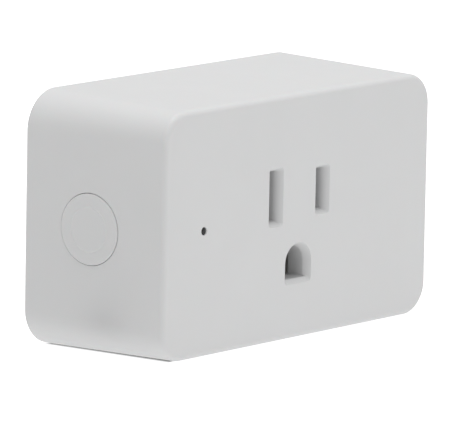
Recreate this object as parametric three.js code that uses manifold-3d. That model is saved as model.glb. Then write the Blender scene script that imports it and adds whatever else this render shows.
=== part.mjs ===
/**
 * Smart plug with one grounded outlet, a side button and a pinhole status light.
 *
 * Units are millimetres. The origin is the centre of the rear face, which meets the wall outlet.
 * Seen from the front, +X points right and +Z points up. +Y points from the front face to the wall.
 */
import * as THREE from 'three';
import { mergeVertices } from 'three/addons/utils/BufferGeometryUtils.js';
import Module from 'manifold-3d';

const wasm = await Module();
wasm.setup();

// ---------------------------------------------------------------- driving dimensions

// Housing: a deep drafted cup, open at the rear, where a flush cover closes it.
const FRONT_WIDTH = 72.4;
const FRONT_HEIGHT = 43.0;
const DEPTH = 30.5;
const DRAFT = THREE.MathUtils.degToRad(1.6);
const FRONT_CORNER = 5.5;
const REAR_CORNER = 7.0;
const FRONT_EDGE = 1.0;
const WALL = 2.0;
const FACE = 2.4;
const RIM = 1.0;
const COVER = 2.3;
const SEAM = 0.15;
const LEDGE_GAP = 0.1;

// Outlet pattern, shared by the front outlet and the rear prongs.
const BLADE_PITCH = 12.7;
const BLADE_LINE_Z = 3.9;
const GROUND_DROP = 11.9;
const SLOT_WIDTH = 2.4;
const LEAD_IN = 0.7;
const SOCKET_BOSS = 2.2;
const GROUND_HOLE = { halfWidth: 2.85, top: 2.55, bottom: -3.1 };
const POLES = {
  neutral: { x: -BLADE_PITCH / 2, slotHeight: 8.8, bladeWidth: 7.9 },
  line: { x: BLADE_PITCH / 2, slotHeight: 7.2, bladeWidth: 6.35 },
};

// Prongs.
const BLADE_THICKNESS = 1.5;
const BLADE_LENGTH = 16.6;
const BLADE_HOLE_RADIUS = 1.6;
const BLADE_HOLE_Y = 11.9;
const PIN_RADIUS = 2.375;
const PIN_LENGTH = 20.6;
const PIN_TAIL_RADIUS = 1.5;
const SHOULDER = 1.3;
const SHOULDER_THICKNESS = 1.0;

// Prong retainer, clamped to a pad on the cover.
const PAD = 1.5;
const RETAINER = { halfWidth: 12.0, bottom: -12.4, top: 9.7, thickness: 2.65 };
const RETAINER_SCREW = { x: 9.4, z: -9.6, headRadius: 1.7, head: 1.1, shankRadius: 0.85, length: 5.2 };

// Housing screws.
const SCREW_X = 30.4;
const SCREW_Z = 15.6;
const SCREW = { headRadius: 2.1, head: 1.2, shankRadius: 1.1, length: 9.4 };
const POST_RADIUS = 2.75;

// Main board, parallel to the front face.
const BOARD_REAR = -7.8;
const BOARD_THICKNESS = 1.6;
const BOARD_HALF_WIDTH = 32.6;
const BOARD_HALF_HEIGHT = 18.6;
const BOARD_NOTCH = [5.8, 6.6];

// Outlet contacts and the block that carries them.
const STRIP = 0.6;
const CONTACT_MOUTH_Y = -25.2;
const CONTACT_BASE_Y = -12.1;
const CARRIER = { halfWidth: 11.5, bottom: -13.0, top: 9.6, rear: -10.6, floor: 1.0 };

// Control board, parallel to the left side, with the switch on its outer face.
const CONTROL_OUTER_X = -27.5;
const CONTROL_THICKNESS = 1.2;
const CONTROL_FRONT_Y = -24.2;
const CONTROL_REAR_Y = -9.6;
const CONTROL_HALF_HEIGHT = 12.5;

// Button and status light.
const BUTTON_DEPTH = 16.3;
const BUTTON_RADIUS = 6.15;
const BUTTON_GAP = 0.2;
const BUTTON_FLANGE = 7.2;
const BUTTON_PROUD = 0.2;
const STEM_RADIUS = 2.0;
const STEM_END_X = -32.35;
const SWITCH_SIZE = 6.0;
const LED_X = -25.6;
const LED_Z = 0.38;
const LED_HOLE_RADIUS = 0.7;

// Gaps between pieces that touch on the real object.
const GAP = 0.15;
const SEAT = 0.1;
const PIN_GAP = 0.25;
const PIN_HOLE_CORNER = 1.4;

// Worked out from the values above.
const FRONT_Y = -DEPTH;
const FACE_INNER_Y = FRONT_Y + FACE;
const SOCKET_REAR_Y = FACE_INNER_Y + SOCKET_BOSS;
const COVER_INNER_Y = -COVER;
const PAD_Y = COVER_INNER_Y - PAD;
const SHOULDER_REAR_Y = PAD_Y - GAP;
const SHOULDER_FRONT_Y = SHOULDER_REAR_Y - SHOULDER_THICKNESS;
const RETAINER_FRONT_Y = SHOULDER_REAR_Y - RETAINER.thickness;
const BOARD_FRONT = BOARD_REAR - BOARD_THICKNESS;
const GROUND_Z = BLADE_LINE_Z - GROUND_DROP;
const BUTTON_Y = FRONT_Y + BUTTON_DEPTH;
const CONTROL_INNER_X = CONTROL_OUTER_X + CONTROL_THICKNESS;
const TAIL_FRONT_Y = BOARD_FRONT - 0.9;
const CORNERS = [[1, 1], [-1, 1], [-1, -1], [1, -1]];

// ---------------------------------------------------------------- materials

const finish = (color, roughness, metalness) => (
  new THREE.MeshStandardMaterial({ color, roughness, metalness })
);
const plastic = (color, roughness) => finish(color, roughness, 0);
const metal = (color, roughness) => finish(color, roughness, 1);

const MATERIALS = {
  housing: plastic(0xf1f2f4, 0.45),
  button: plastic(0xf1f2f4, 0.4),
  insulator: plastic(0xe4e4e2, 0.6),
  darkPlastic: plastic(0x202124, 0.55),
  clear: plastic(0xdfe8ec, 0.15),
  smoked: plastic(0x1e1e20, 0.25),
  board: plastic(0x1d5a34, 0.5),
  module: plastic(0x1b2a57, 0.5),
  relay: plastic(0x2b67b1, 0.4),
  film: plastic(0xd8b23c, 0.4),
  varistor: plastic(0x2f6fae, 0.5),
  sleeve: plastic(0x24262b, 0.4),
  fuse: plastic(0x4f8f6c, 0.5),
  ferrite: plastic(0x3a3b3d, 0.7),
  nickel: metal(0xcfcabf, 0.28),
  tinned: metal(0xc4c2bb, 0.35),
  steel: metal(0xb8bcc0, 0.32),
  copper: metal(0xb8683a, 0.35),
};

// ---------------------------------------------------------------- solids

/** A closed geometry as a solid that can be joined and cut. */
function toSolid(geometry) {
  const bare = geometry.clone();
  bare.deleteAttribute('normal');
  bare.deleteAttribute('uv');
  const merged = mergeVertices(bare);
  const triangles = [];
  for (let i = 0; i < merged.index.count; i += 3) {
    const [a, b, c] = [0, 1, 2].map((k) => merged.index.getX(i + k));
    if (a !== b && b !== c && c !== a) triangles.push(a, b, c);
  }
  const vertProperties = new Float32Array(merged.attributes.position.array);
  const triVerts = new Uint32Array(triangles);
  return new wasm.Manifold(new wasm.Mesh({ numProp: 3, vertProperties, triVerts }));
}

/** The geometry of a solid. */
function toGeometry(solid) {
  const mesh = solid.getMesh();
  const geometry = new THREE.BufferGeometry();
  geometry.setAttribute('position', new THREE.BufferAttribute(mesh.vertProperties, 3));
  geometry.setIndex(new THREE.BufferAttribute(mesh.triVerts, 1));
  geometry.computeVertexNormals();
  return geometry;
}

const join = (first, ...rest) => rest.reduce((sum, next) => sum.add(next), first);
const cut = (first, ...rest) => rest.reduce((left, next) => left.subtract(next), first);

/** A box between two values on each axis. */
function block([x0, x1], [y0, y1], [z0, z1]) {
  const geometry = new THREE.BoxGeometry(x1 - x0, y1 - y0, z1 - z0);
  geometry.translate((x0 + x1) / 2, (y0 + y1) / 2, (z0 + z1) / 2);
  return toSolid(geometry);
}

/** A round bar along Y. */
function rod(radius, [y0, y1], x = 0, z = 0, segments = 24) {
  const geometry = new THREE.CylinderGeometry(radius, radius, y1 - y0, segments);
  geometry.translate(x, (y0 + y1) / 2, z);
  return toSolid(geometry);
}

/** A round bar along X. */
function crossRod(radius, [x0, x1], y, z, segments) {
  const geometry = new THREE.CylinderGeometry(radius, radius, x1 - x0, segments);
  geometry.rotateZ(-Math.PI / 2);
  geometry.translate((x0 + x1) / 2, y, z);
  return toSolid(geometry);
}

/** A turned piece about Y, from [radius, y] points that start and end on the axis, y rising outside. */
function turned(profile, segments = 24) {
  return toSolid(new THREE.LatheGeometry(profile.map(([r, y]) => new THREE.Vector2(r, y)), segments));
}

/** A flat shape drawn in X and Z, given thickness between two Y values. */
function slab(shape, [y0, y1], curveSegments = 8) {
  const geometry = new THREE.ExtrudeGeometry(shape, { depth: y1 - y0, bevelEnabled: false, curveSegments });
  geometry.rotateX(Math.PI / 2);
  geometry.translate(0, y1, 0);
  return toSolid(geometry);
}

/** The points of a rectangle with round corners, anticlockwise seen from the front. */
function roundedOutline(halfWidth, halfHeight, radius, steps = 8) {
  const points = [];
  CORNERS.forEach(([sideX, sideZ], corner) => {
    for (let i = 0; i <= steps; i += 1) {
      const angle = (corner + i / steps) * (Math.PI / 2);
      const x = sideX * (halfWidth - radius) + radius * Math.cos(angle);
      const z = sideZ * (halfHeight - radius) + radius * Math.sin(angle);
      points.push([x, z]);
    }
  });
  return points;
}

/** The points of a rectangle. */
function boxOutline(halfWidth, bottom, top) {
  return [[halfWidth, bottom], [halfWidth, top], [-halfWidth, top], [-halfWidth, bottom]];
}

/** The points of an arch with a flat foot, grown outwards by an offset. */
function archOutline({ halfWidth, top, bottom }, offset, steps = 14) {
  const radius = halfWidth + offset;
  const points = [[radius, bottom - offset]];
  for (let i = 0; i <= steps; i += 1) {
    const angle = (i / steps) * Math.PI;
    points.push([radius * Math.cos(angle), top - halfWidth + radius * Math.sin(angle)]);
  }
  points.push([-radius, bottom - offset]);
  return points;
}

/** A solid skinned over outlines of equal point count, given as [y, outline] from front to rear. */
function loft(sections, centreX = 0, centreZ = 0) {
  const count = sections[0][1].length;
  const positions = [];
  const index = [];
  sections.forEach(([y, outline]) => {
    outline.forEach(([x, z]) => positions.push(centreX + x, y, centreZ + z));
  });
  for (let ring = 0; ring < sections.length - 1; ring += 1) {
    for (let i = 0; i < count; i += 1) {
      const a = ring * count + i;
      const b = ring * count + ((i + 1) % count);
      index.push(a, a + count, b, b, a + count, b + count);
    }
  }
  const last = (sections.length - 1) * count;
  for (let i = 1; i < count - 1; i += 1) {
    index.push(0, i, i + 1);
    index.push(last, last + i + 1, last + i);
  }
  const geometry = new THREE.BufferGeometry();
  geometry.setAttribute('position', new THREE.Float32BufferAttribute(positions, 3));
  geometry.setIndex(index);
  return toSolid(geometry);
}

/** A hole cutter through the face with a 45 degree lead-in, from an outline that takes an offset. */
function leadInCutter(outline, x, z, rear) {
  const overshoot = 0.5;
  const sections = [
    [FRONT_Y - overshoot, outline(LEAD_IN + overshoot)],
    [FRONT_Y + LEAD_IN, outline(0)],
    [rear, outline(0)],
  ];
  return loft(sections, x, z);
}

/** A bent strip of even thickness along a centre line of [x, y] points. */
function stripShape(centreLine, thickness) {
  const points = centreLine.map(([x, y]) => new THREE.Vector2(x, y));
  const normals = points.slice(1).map((point, i) => {
    const along = point.clone().sub(points[i]).normalize();
    return new THREE.Vector2(-along.y, along.x);
  });
  const sides = [1, -1].map((side) => points.map((point, i) => {
    const before = normals[Math.max(i - 1, 0)];
    const after = normals[Math.min(i, normals.length - 1)];
    const mitre = before.clone().add(after).normalize();
    const reach = (side * thickness) / 2 / mitre.dot(after);
    return point.clone().addScaledVector(mitre, reach);
  }));
  return new THREE.Shape([...sides[0], ...sides[1].reverse()]);
}

// ---------------------------------------------------------------- scene graph

/** A named mesh made from a solid. */
function piece(name, solid, material) {
  const mesh = new THREE.Mesh(toGeometry(solid), material);
  mesh.name = name;
  return mesh;
}

/** Stands a piece, built upwards along +Y, on the front of the main board. */
function onBoardFront(mesh, x, z) {
  mesh.position.set(x, BOARD_FRONT - SEAT, z);
  mesh.rotation.z = Math.PI;
  return mesh;
}

/** Stands a piece, built upwards along +Y, on the rear of the main board. */
function onBoardRear(mesh, x, z) {
  mesh.position.set(x, BOARD_REAR + SEAT, z);
  return mesh;
}

/** Stands a piece, built upwards along +Y, on the inner face of the control board. */
function onControlInner(mesh, y, z) {
  mesh.position.set(CONTROL_INNER_X + SEAT, y, z);
  mesh.rotation.z = -Math.PI / 2;
  return mesh;
}

/** Stands a piece, built upwards along +Y, on the outer face of the control board. */
function onControlOuter(mesh, y, z) {
  mesh.position.set(CONTROL_OUTER_X - SEAT, y, z);
  mesh.rotation.z = Math.PI / 2;
  return mesh;
}

// ---------------------------------------------------------------- housing

/** The housing's outline at a depth, drawn in by an inset. */
function housingSection(y, inset) {
  const spread = (y - FRONT_Y) * Math.tan(DRAFT) - inset;
  const radius = THREE.MathUtils.mapLinear(y, FRONT_Y, 0, FRONT_CORNER, REAR_CORNER) - inset;
  return [y, roundedOutline(FRONT_WIDTH / 2 + spread, FRONT_HEIGHT / 2 + spread, radius)];
}

/** The full drafted block with its rounded front edge. */
function housingBlock() {
  const edgeSteps = 4;
  const sections = [];
  for (let i = 0; i <= edgeSteps; i += 1) {
    const angle = (i / edgeSteps) * (Math.PI / 2);
    const y = FRONT_Y + FRONT_EDGE * (1 - Math.cos(angle));
    sections.push(housingSection(y, FRONT_EDGE * (1 - Math.sin(angle))));
  }
  sections.push(housingSection(0, 0));
  return loft(sections);
}

/** The four posts that the housing screws bite into. */
function screwPosts() {
  const rear = COVER_INNER_Y - GAP;
  return CORNERS.map(([sx, sz]) => rod(POST_RADIUS, [FACE_INNER_Y - 0.5, rear], sx * SCREW_X, sz * SCREW_Z));
}

/** Two forked ribs that hold the control board's front edge. */
function boardGuides() {
  const ribWidth = 1.1;
  const ribRear = CONTROL_FRONT_Y + 1.7;
  const outer = CONTROL_OUTER_X - GAP;
  const inner = CONTROL_INNER_X + GAP;
  return [-1, 1].flatMap((side) => {
    const z = [side * 9.5 - 1.5, side * 9.5 + 1.5];
    const y = [FACE_INNER_Y - 0.5, ribRear];
    return [block([outer - ribWidth, outer], y, z), block([inner, inner + ribWidth], y, z)];
  });
}

function frontShell() {
  const beyond = 1.0;
  const ledgeY = COVER_INNER_Y - LEDGE_GAP;
  const cavity = loft([housingSection(FACE_INNER_Y, WALL), housingSection(beyond, WALL)]);
  const rebate = loft([housingSection(ledgeY, RIM), housingSection(beyond, RIM)]);
  const socketBoss = block(
    [-CARRIER.halfWidth, CARRIER.halfWidth],
    [FACE_INNER_Y - 0.5, SOCKET_REAR_Y],
    [CARRIER.bottom, CARRIER.top],
  );
  const cup = cut(housingBlock(), cavity, rebate);
  const fitted = join(cup, socketBoss, ...screwPosts(), ...boardGuides());

  const pilotDepth = SCREW.length + 3.0;
  const pilots = CORNERS.map(([sx, sz]) => (
    rod(SCREW.shankRadius + SEAT, [-pilotDepth, beyond], sx * SCREW_X, sz * SCREW_Z)
  ));
  const slots = Object.values(POLES).map(({ x, slotHeight }) => {
    const outline = (offset) => boxOutline(
      SLOT_WIDTH / 2 + offset,
      -slotHeight / 2 - offset,
      slotHeight / 2 + offset,
    );
    return leadInCutter(outline, x, BLADE_LINE_Z, SOCKET_REAR_Y + beyond);
  });
  const groundOutline = (offset) => archOutline(GROUND_HOLE, offset);
  const groundHole = leadInCutter(groundOutline, 0, GROUND_Z, SOCKET_REAR_Y + beyond);
  const lightHole = rod(LED_HOLE_RADIUS, [FRONT_Y - beyond, FACE_INNER_Y + beyond], LED_X, LED_Z, 16);
  const buttonHole = crossRod(BUTTON_RADIUS + BUTTON_GAP, [-40, -33], BUTTON_Y, 0, 48);
  return cut(fitted, ...pilots, ...slots, groundHole, lightHole, buttonHole);
}

function rearCover() {
  const inset = RIM + SEAM;
  const plate = loft([housingSection(COVER_INNER_Y, inset), housingSection(0, inset)]);
  const pad = block(
    [-RETAINER.halfWidth, RETAINER.halfWidth],
    [PAD_Y, COVER_INNER_Y + 0.5],
    [RETAINER.bottom, RETAINER.top],
  );
  const through = [PAD_Y - 1, 1];
  const bladeSlots = Object.values(POLES).map(({ x, bladeWidth }) => {
    const halfSlot = BLADE_THICKNESS / 2 + GAP;
    const halfHeight = bladeWidth / 2 + GAP;
    const height = [BLADE_LINE_Z - halfHeight, BLADE_LINE_Z + halfHeight];
    return block([x - halfSlot, x + halfSlot], through, height);
  });
  const pinHalf = PIN_RADIUS + PIN_GAP;
  const pinOutline = roundedOutline(pinHalf, pinHalf, PIN_HOLE_CORNER, 5);
  const pinHole = loft(through.map((y) => [y, pinOutline]), 0, GROUND_Z);
  const counterbores = CORNERS.flatMap(([sx, sz]) => [
    rod(SCREW.headRadius + 0.3, [-SCREW.head - 2 * SEAT, 1], sx * SCREW_X, sz * SCREW_Z, 32),
    rod(SCREW.shankRadius + 0.2, [COVER_INNER_Y - 1, 1], sx * SCREW_X, sz * SCREW_Z),
  ]);
  const retainerPilots = [-1, 1].map((side) => (
    rod(RETAINER_SCREW.shankRadius + SEAT, [PAD_Y - 1, -1.0], side * RETAINER_SCREW.x, RETAINER_SCREW.z, 16)
  ));
  return cut(join(plate, pad), ...bladeSlots, pinHole, ...counterbores, ...retainerPilots);
}

/** A cross-head screw along Y: its head's top is at y = 0 and its point lies at -length. */
function screwSolid({ headRadius, head, shankRadius, length }) {
  const point = shankRadius * 0.9;
  const body = turned([
    [0, -length],
    [shankRadius - point * 0.5, -length],
    [shankRadius, -length + point],
    [shankRadius, -head],
    [headRadius, -head],
    [headRadius, -0.25 * head],
    [headRadius * 0.86, 0],
    [0, 0],
  ], 16);
  const reach = headRadius * 0.58;
  const slot = headRadius * 0.13;
  const depth = [-0.6 * head, 1];
  const arms = [block([-reach, reach], depth, [-slot, slot]), block([-slot, slot], depth, [-reach, reach])];
  return cut(body, ...arms);
}

const rearScrews = CORNERS.map(([sx, sz], i) => {
  const mesh = piece(`rear_screw_${i + 1}`, screwSolid(SCREW), MATERIALS.steel);
  mesh.position.set(sx * SCREW_X, -SEAT, sz * SCREW_Z);
  return mesh;
});

// ---------------------------------------------------------------- prongs

const TAIL_Z = [BLADE_LINE_Z - 3.0, BLADE_LINE_Z];

/** A folded flat blade: nose, body, shoulder behind the cover pad and solder tail through the board. */
function blade({ x, bladeWidth }) {
  const halfThickness = BLADE_THICKNESS / 2;
  const halfWidth = bladeWidth / 2;
  const body = loft([
    [SHOULDER_FRONT_Y, boxOutline(halfThickness, -halfWidth, halfWidth)],
    [BLADE_LENGTH - 2.0, boxOutline(halfThickness, -halfWidth, halfWidth)],
    [BLADE_LENGTH - 0.7, boxOutline(halfThickness * 0.8, -halfWidth + 0.7, halfWidth - 0.7)],
    [BLADE_LENGTH, boxOutline(halfThickness * 0.5, -halfWidth + 1.5, halfWidth - 1.5)],
  ], x, BLADE_LINE_Z);
  const thickness = [x - halfThickness, x + halfThickness];
  const shoulderHalf = halfWidth + SHOULDER;
  const shoulder = block(
    thickness,
    [SHOULDER_FRONT_Y, SHOULDER_REAR_Y],
    [BLADE_LINE_Z - shoulderHalf, BLADE_LINE_Z + shoulderHalf],
  );
  const tail = block(thickness, [TAIL_FRONT_Y, SHOULDER_FRONT_Y + 0.2], TAIL_Z);
  const hole = crossRod(BLADE_HOLE_RADIUS, [x - 2, x + 2], BLADE_HOLE_Y, BLADE_LINE_Z, 24);
  return cut(join(body, shoulder, tail), hole);
}

/** The round ground pin: nose, flange behind the cover pad and a tail soldered into the main board. */
function groundPin() {
  const noseSteps = 5;
  const noseFlat = 0.6;
  const nose = [];
  for (let i = 0; i <= noseSteps; i += 1) {
    const angle = (i / noseSteps) * (Math.PI / 2);
    const radius = noseFlat + (PIN_RADIUS - noseFlat) * Math.cos(angle);
    nose.push([radius, PIN_LENGTH - PIN_RADIUS + PIN_RADIUS * Math.sin(angle)]);
  }
  const solid = turned([
    [0, TAIL_FRONT_Y],
    [PIN_TAIL_RADIUS, TAIL_FRONT_Y],
    [PIN_TAIL_RADIUS, SHOULDER_FRONT_Y],
    [PIN_RADIUS + 1.0, SHOULDER_FRONT_Y],
    [PIN_RADIUS + 1.0, SHOULDER_REAR_Y],
    [PIN_RADIUS, SHOULDER_REAR_Y],
    ...nose,
    [0, PIN_LENGTH],
  ], 32);
  return solid.translate(0, 0, GROUND_Z);
}

/** The plate that clamps the prong shoulders against the cover pad. */
function bladeRetainer() {
  const plate = block(
    [-RETAINER.halfWidth, RETAINER.halfWidth],
    [RETAINER_FRONT_Y, SHOULDER_REAR_Y],
    [RETAINER.bottom, RETAINER.top],
  );
  const standoffHalf = 1.0;
  const standoffs = [[10.6, 8.3], [-10.6, 8.3], [10.6, -2.5], [-10.6, -2.5]].map(([x, z]) => block(
    [x - standoffHalf, x + standoffHalf],
    [BOARD_REAR + GAP, RETAINER_FRONT_Y + 0.2],
    [z - standoffHalf, z + standoffHalf],
  ));
  const through = [RETAINER_FRONT_Y - 1, 0];
  const pocket = [SHOULDER_FRONT_Y - GAP, 0];
  const bladeCuts = Object.values(POLES).flatMap(({ x, bladeWidth }) => {
    const halfSlot = BLADE_THICKNESS / 2 + GAP;
    const shoulderHalf = bladeWidth / 2 + SHOULDER + GAP;
    return [
      block([x - halfSlot, x + halfSlot], pocket, [BLADE_LINE_Z - shoulderHalf, BLADE_LINE_Z + shoulderHalf]),
      block([x - halfSlot, x + halfSlot], through, [TAIL_Z[0] - GAP, TAIL_Z[1] + GAP]),
    ];
  });
  const pinCuts = [
    rod(PIN_RADIUS + 1.0 + GAP, pocket, 0, GROUND_Z, 32),
    rod(PIN_TAIL_RADIUS + GAP, through, 0, GROUND_Z),
  ];
  const screwCuts = [-1, 1].flatMap((side) => {
    const { x, z, headRadius, head, shankRadius } = RETAINER_SCREW;
    return [
      rod(headRadius + 0.3, [RETAINER_FRONT_Y - 1, RETAINER_FRONT_Y + head + 2 * SEAT], side * x, z),
      rod(shankRadius + 0.2, through, side * x, z, 16),
    ];
  });
  return cut(join(plate, ...standoffs), ...bladeCuts, ...pinCuts, ...screwCuts);
}

const retainerScrews = [-1, 1].map((side, i) => {
  const mesh = piece(`retainer_screw_${i + 1}`, screwSolid(RETAINER_SCREW), MATERIALS.steel);
  mesh.position.set(side * RETAINER_SCREW.x, RETAINER_FRONT_Y + SEAT, RETAINER_SCREW.z);
  mesh.rotation.z = Math.PI;
  return mesh;
});

// ---------------------------------------------------------------- outlet contacts

/** A two-leaf spring contact: its leaves pinch near the mouth and join at the base. */
function leafContact(mouth, pinch, base, height) {
  const half = [
    [mouth, CONTACT_MOUTH_Y],
    [pinch, CONTACT_MOUTH_Y + 2.0],
    [base, CONTACT_MOUTH_Y + 5.7],
    [base, CONTACT_BASE_Y],
  ];
  const mirrored = half.map(([x, y]) => [-x, y]).reverse();
  const shape = stripShape([...half, ...mirrored], STRIP);
  const geometry = new THREE.ExtrudeGeometry(shape, { depth: height, bevelEnabled: false });
  geometry.translate(0, 0, -height / 2);
  return toSolid(geometry);
}

const CONTACT_HEIGHT = 6.4;
const GROUND_CONTACT_HEIGHT = 6.0;
const CONTACT_TAIL_HALF = 1.5;

/** The solder tail that reaches from a contact's base through the main board, at the contact's top. */
function contactTail(height) {
  return block(
    [-CONTACT_TAIL_HALF, CONTACT_TAIL_HALF],
    [CONTACT_BASE_Y - STRIP / 2, BOARD_REAR + 0.5],
    [height / 2 - STRIP, height / 2],
  );
}

/** The centre and the top of each contact's tail. */
const TAILS = [
  ...Object.values(POLES).map(({ x }) => [x, BLADE_LINE_Z + CONTACT_HEIGHT / 2]),
  [0, GROUND_Z + GROUND_CONTACT_HEIGHT / 2],
];

/** Slots for the contact tails through a wall, with a gap at the ends and the faces. */
function tailSlots(y, endGap) {
  const half = CONTACT_TAIL_HALF + endGap;
  return TAILS.map(([x, top]) => block([x - half, x + half], y, [top - STRIP - GAP, top + GAP]));
}

const bladeContacts = Object.entries(POLES).map(([pole, { x }]) => {
  const solid = join(leafContact(2.0, 0.85, 1.5, CONTACT_HEIGHT), contactTail(CONTACT_HEIGHT));
  const mesh = piece(`${pole}_contact`, solid, MATERIALS.tinned);
  mesh.position.set(x, 0, BLADE_LINE_Z);
  return mesh;
});

const groundLeaves = leafContact(3.3, 2.55, 3.2, GROUND_CONTACT_HEIGHT);
const groundSolid = join(groundLeaves, contactTail(GROUND_CONTACT_HEIGHT));
const groundContact = piece('ground_contact', groundSolid, MATERIALS.tinned);
groundContact.position.z = GROUND_Z;

/** The insulating block with a pocket for each contact, standing on the main board on four feet. */
function contactCarrier() {
  const front = SOCKET_REAR_Y + GAP;
  const pocketRear = CARRIER.rear - CARRIER.floor;
  const body = block(
    [-CARRIER.halfWidth, CARRIER.halfWidth],
    [front, CARRIER.rear],
    [CARRIER.bottom, CARRIER.top],
  );
  const footHalf = 1.2;
  const feet = CORNERS.map(([sx, sz]) => {
    const x = sx * (CARRIER.halfWidth - footHalf);
    const z = sz > 0 ? CARRIER.top - footHalf : CARRIER.bottom + footHalf;
    return block(
      [x - footHalf, x + footHalf],
      [CARRIER.rear - 0.2, BOARD_FRONT - SEAT],
      [z - footHalf, z + footHalf],
    );
  });
  const pocketY = [front - 1, pocketRear];
  const throughY = [front - 1, CARRIER.rear + 1];
  const bladePockets = Object.values(POLES).map(({ x, slotHeight }) => {
    const halfHeight = slotHeight / 2 + 0.6;
    return block([x - 2.6, x + 2.6], pocketY, [BLADE_LINE_Z - halfHeight, BLADE_LINE_Z + halfHeight]);
  });
  const groundPocket = block([-3.9, 3.9], pocketY, [GROUND_Z - 3.6, GROUND_Z + 3.3]);
  return cut(join(body, ...feet), ...bladePockets, groundPocket, ...tailSlots(throughY, 2 * GAP));
}

// ---------------------------------------------------------------- main board and its parts

function mainBoard() {
  const w = BOARD_HALF_WIDTH;
  const h = BOARD_HALF_HEIGHT;
  const nw = w - BOARD_NOTCH[0];
  const nh = h - BOARD_NOTCH[1];
  const shape = new THREE.Shape([
    [w, nh], [nw, nh], [nw, h], [-nw, h], [-nw, nh], [-w, nh],
    [-w, -nh], [-nw, -nh], [-nw, -h], [nw, -h], [nw, -nh], [w, -nh],
  ].map(([x, z]) => new THREE.Vector2(x, z)));
  const board = slab(shape, [BOARD_FRONT, BOARD_REAR]);
  const through = [BOARD_FRONT - 1, BOARD_REAR + 1];
  const halfBlade = BLADE_THICKNESS / 2 + GAP;
  const bladeSlots = Object.values(POLES).map(({ x }) => (
    block([x - halfBlade, x + halfBlade], through, [TAIL_Z[0] - GAP, TAIL_Z[1] + GAP])
  ));
  const pinHole = rod(PIN_TAIL_RADIUS + GAP, through, 0, GROUND_Z);
  return cut(board, ...bladeSlots, ...tailSlots(through, GAP), pinHole);
}

/** A box part with rounded upright edges. */
function roundedBox(width, depth, height, radius) {
  const outline = roundedOutline(width / 2, depth / 2, radius, 3);
  return loft([[0, outline], [height, outline]]);
}

/** The relay: a moulded case over a base tray with a small vent nub on top. */
function relaySolid() {
  const base = roundedBox(14.6, 19.8, 1.6, 0.5);
  const caseBody = roundedBox(14.2, 19.4, 15.4, 1.0);
  const vent = rod(0.9, [15.2, 15.8], 4.6, 7.0, 16);
  return join(base, caseBody, vent);
}

/** A radial electrolytic capacitor, with its rolled groove and crimped top. */
function canCapacitor(radius, height) {
  const groove = 0.3;
  return turned([
    [0, 0],
    [radius, 0],
    [radius, 1.4],
    [radius - groove, 1.9],
    [radius, 2.4],
    [radius, height - 0.5],
    [radius - 0.5, height],
    [0, height],
  ], 20);
}

/** A drum core: two flanges on a slim waist. */
function drumCore(radius, height, flange) {
  const waist = radius * 0.5;
  return turned([
    [0, 0],
    [radius, 0],
    [radius, flange],
    [waist, flange],
    [waist, height - flange],
    [radius, height - flange],
    [radius, height],
    [0, height],
  ], 20);
}

/** The winding that fills a drum core's waist. */
function drumWinding(radius, height, flange) {
  const inner = radius * 0.5 + SEAT;
  const outer = radius * 0.93;
  const low = flange + SEAT;
  const high = height - flange - SEAT;
  return turned([[inner, low], [outer, low], [outer, high], [inner, high], [inner, low]], 20);
}

/** A chip with gull-wing legs on its two long sides. */
function chip(width, length, height, legsPerSide, pitch, legWidth) {
  const legReach = 1.0;
  const legHeight = 0.45 * height;
  const body = block([-width / 2, width / 2], [0.1, height], [-length / 2, length / 2]);
  const legs = [-1, 1].flatMap((side) => {
    const x = side > 0 ? [width / 2 - 0.2, width / 2 + legReach] : [-width / 2 - legReach, -width / 2 + 0.2];
    return Array.from({ length: legsPerSide }, (_, i) => {
      const z = (i - (legsPerSide - 1) / 2) * pitch;
      const foot = side > 0 ? [x[1] - 0.6, x[1]] : [x[0], x[0] + 0.6];
      const shin = block(x, [legHeight - 0.22, legHeight], [z - legWidth / 2, z + legWidth / 2]);
      return join(shin, block(foot, [0, legHeight], [z - legWidth / 2, z + legWidth / 2]));
    });
  });
  return join(body, ...legs.flat());
}

/** The varistor: a lacquered disc on two wire legs, its flat faces towards X. */
function varistorSolid() {
  const radius = 4.5;
  const halfThickness = 1.6;
  const edge = 0.7;
  const disc = turned([
    [0, -halfThickness],
    [radius - edge, -halfThickness],
    [radius, -halfThickness + edge],
    [radius, halfThickness - edge],
    [radius - edge, halfThickness],
    [0, halfThickness],
  ], 20).rotate(0, 0, 90).translate(0, radius + 1.4, 0);
  const legs = [-2.5, 2.5].map((z) => rod(0.35, [0, 4.0], 0, z, 10));
  return join(disc, ...legs);
}

/** The fusible input resistor: a coated body lying along Z on two bent wires. */
function fuseSolid() {
  const radius = 1.6;
  const halfLength = 4.4;
  const height = radius + 0.5;
  const wire = 0.35;
  const body = turned([
    [0, -halfLength],
    [radius - 0.4, -halfLength],
    [radius, -halfLength + 0.5],
    [radius, halfLength - 0.5],
    [radius - 0.4, halfLength],
    [0, halfLength],
  ], 20).rotate(90, 0, 0).translate(0, height, 0);
  const span = halfLength + 1.2;
  const wires = [-1, 1].flatMap((side) => {
    const z = side > 0 ? [halfLength - 0.3, span + wire] : [-span - wire, -halfLength + 0.3];
    return [
      block([-wire, wire], [height - wire, height + wire], z),
      rod(wire, [0, height], 0, side * span, 10),
    ];
  });
  return join(body, ...wires);
}

/** The film capacitor across the supply: a potted box. */
const filmCapacitorSolid = () => roundedBox(6.0, 13.0, 11.5, 0.5);

/** The current shunt: a low metal bridge between two soldered feet. */
function shuntSolid() {
  const shape = stripShape([[-3.4, 0.3], [-2.2, 0.3], [-1.5, 1.4], [1.5, 1.4], [2.2, 0.3], [3.4, 0.3]], 0.5);
  const geometry = new THREE.ExtrudeGeometry(shape, { depth: 3.0, bevelEnabled: false });
  geometry.translate(0, 0, -1.5);
  return toSolid(geometry);
}

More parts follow.
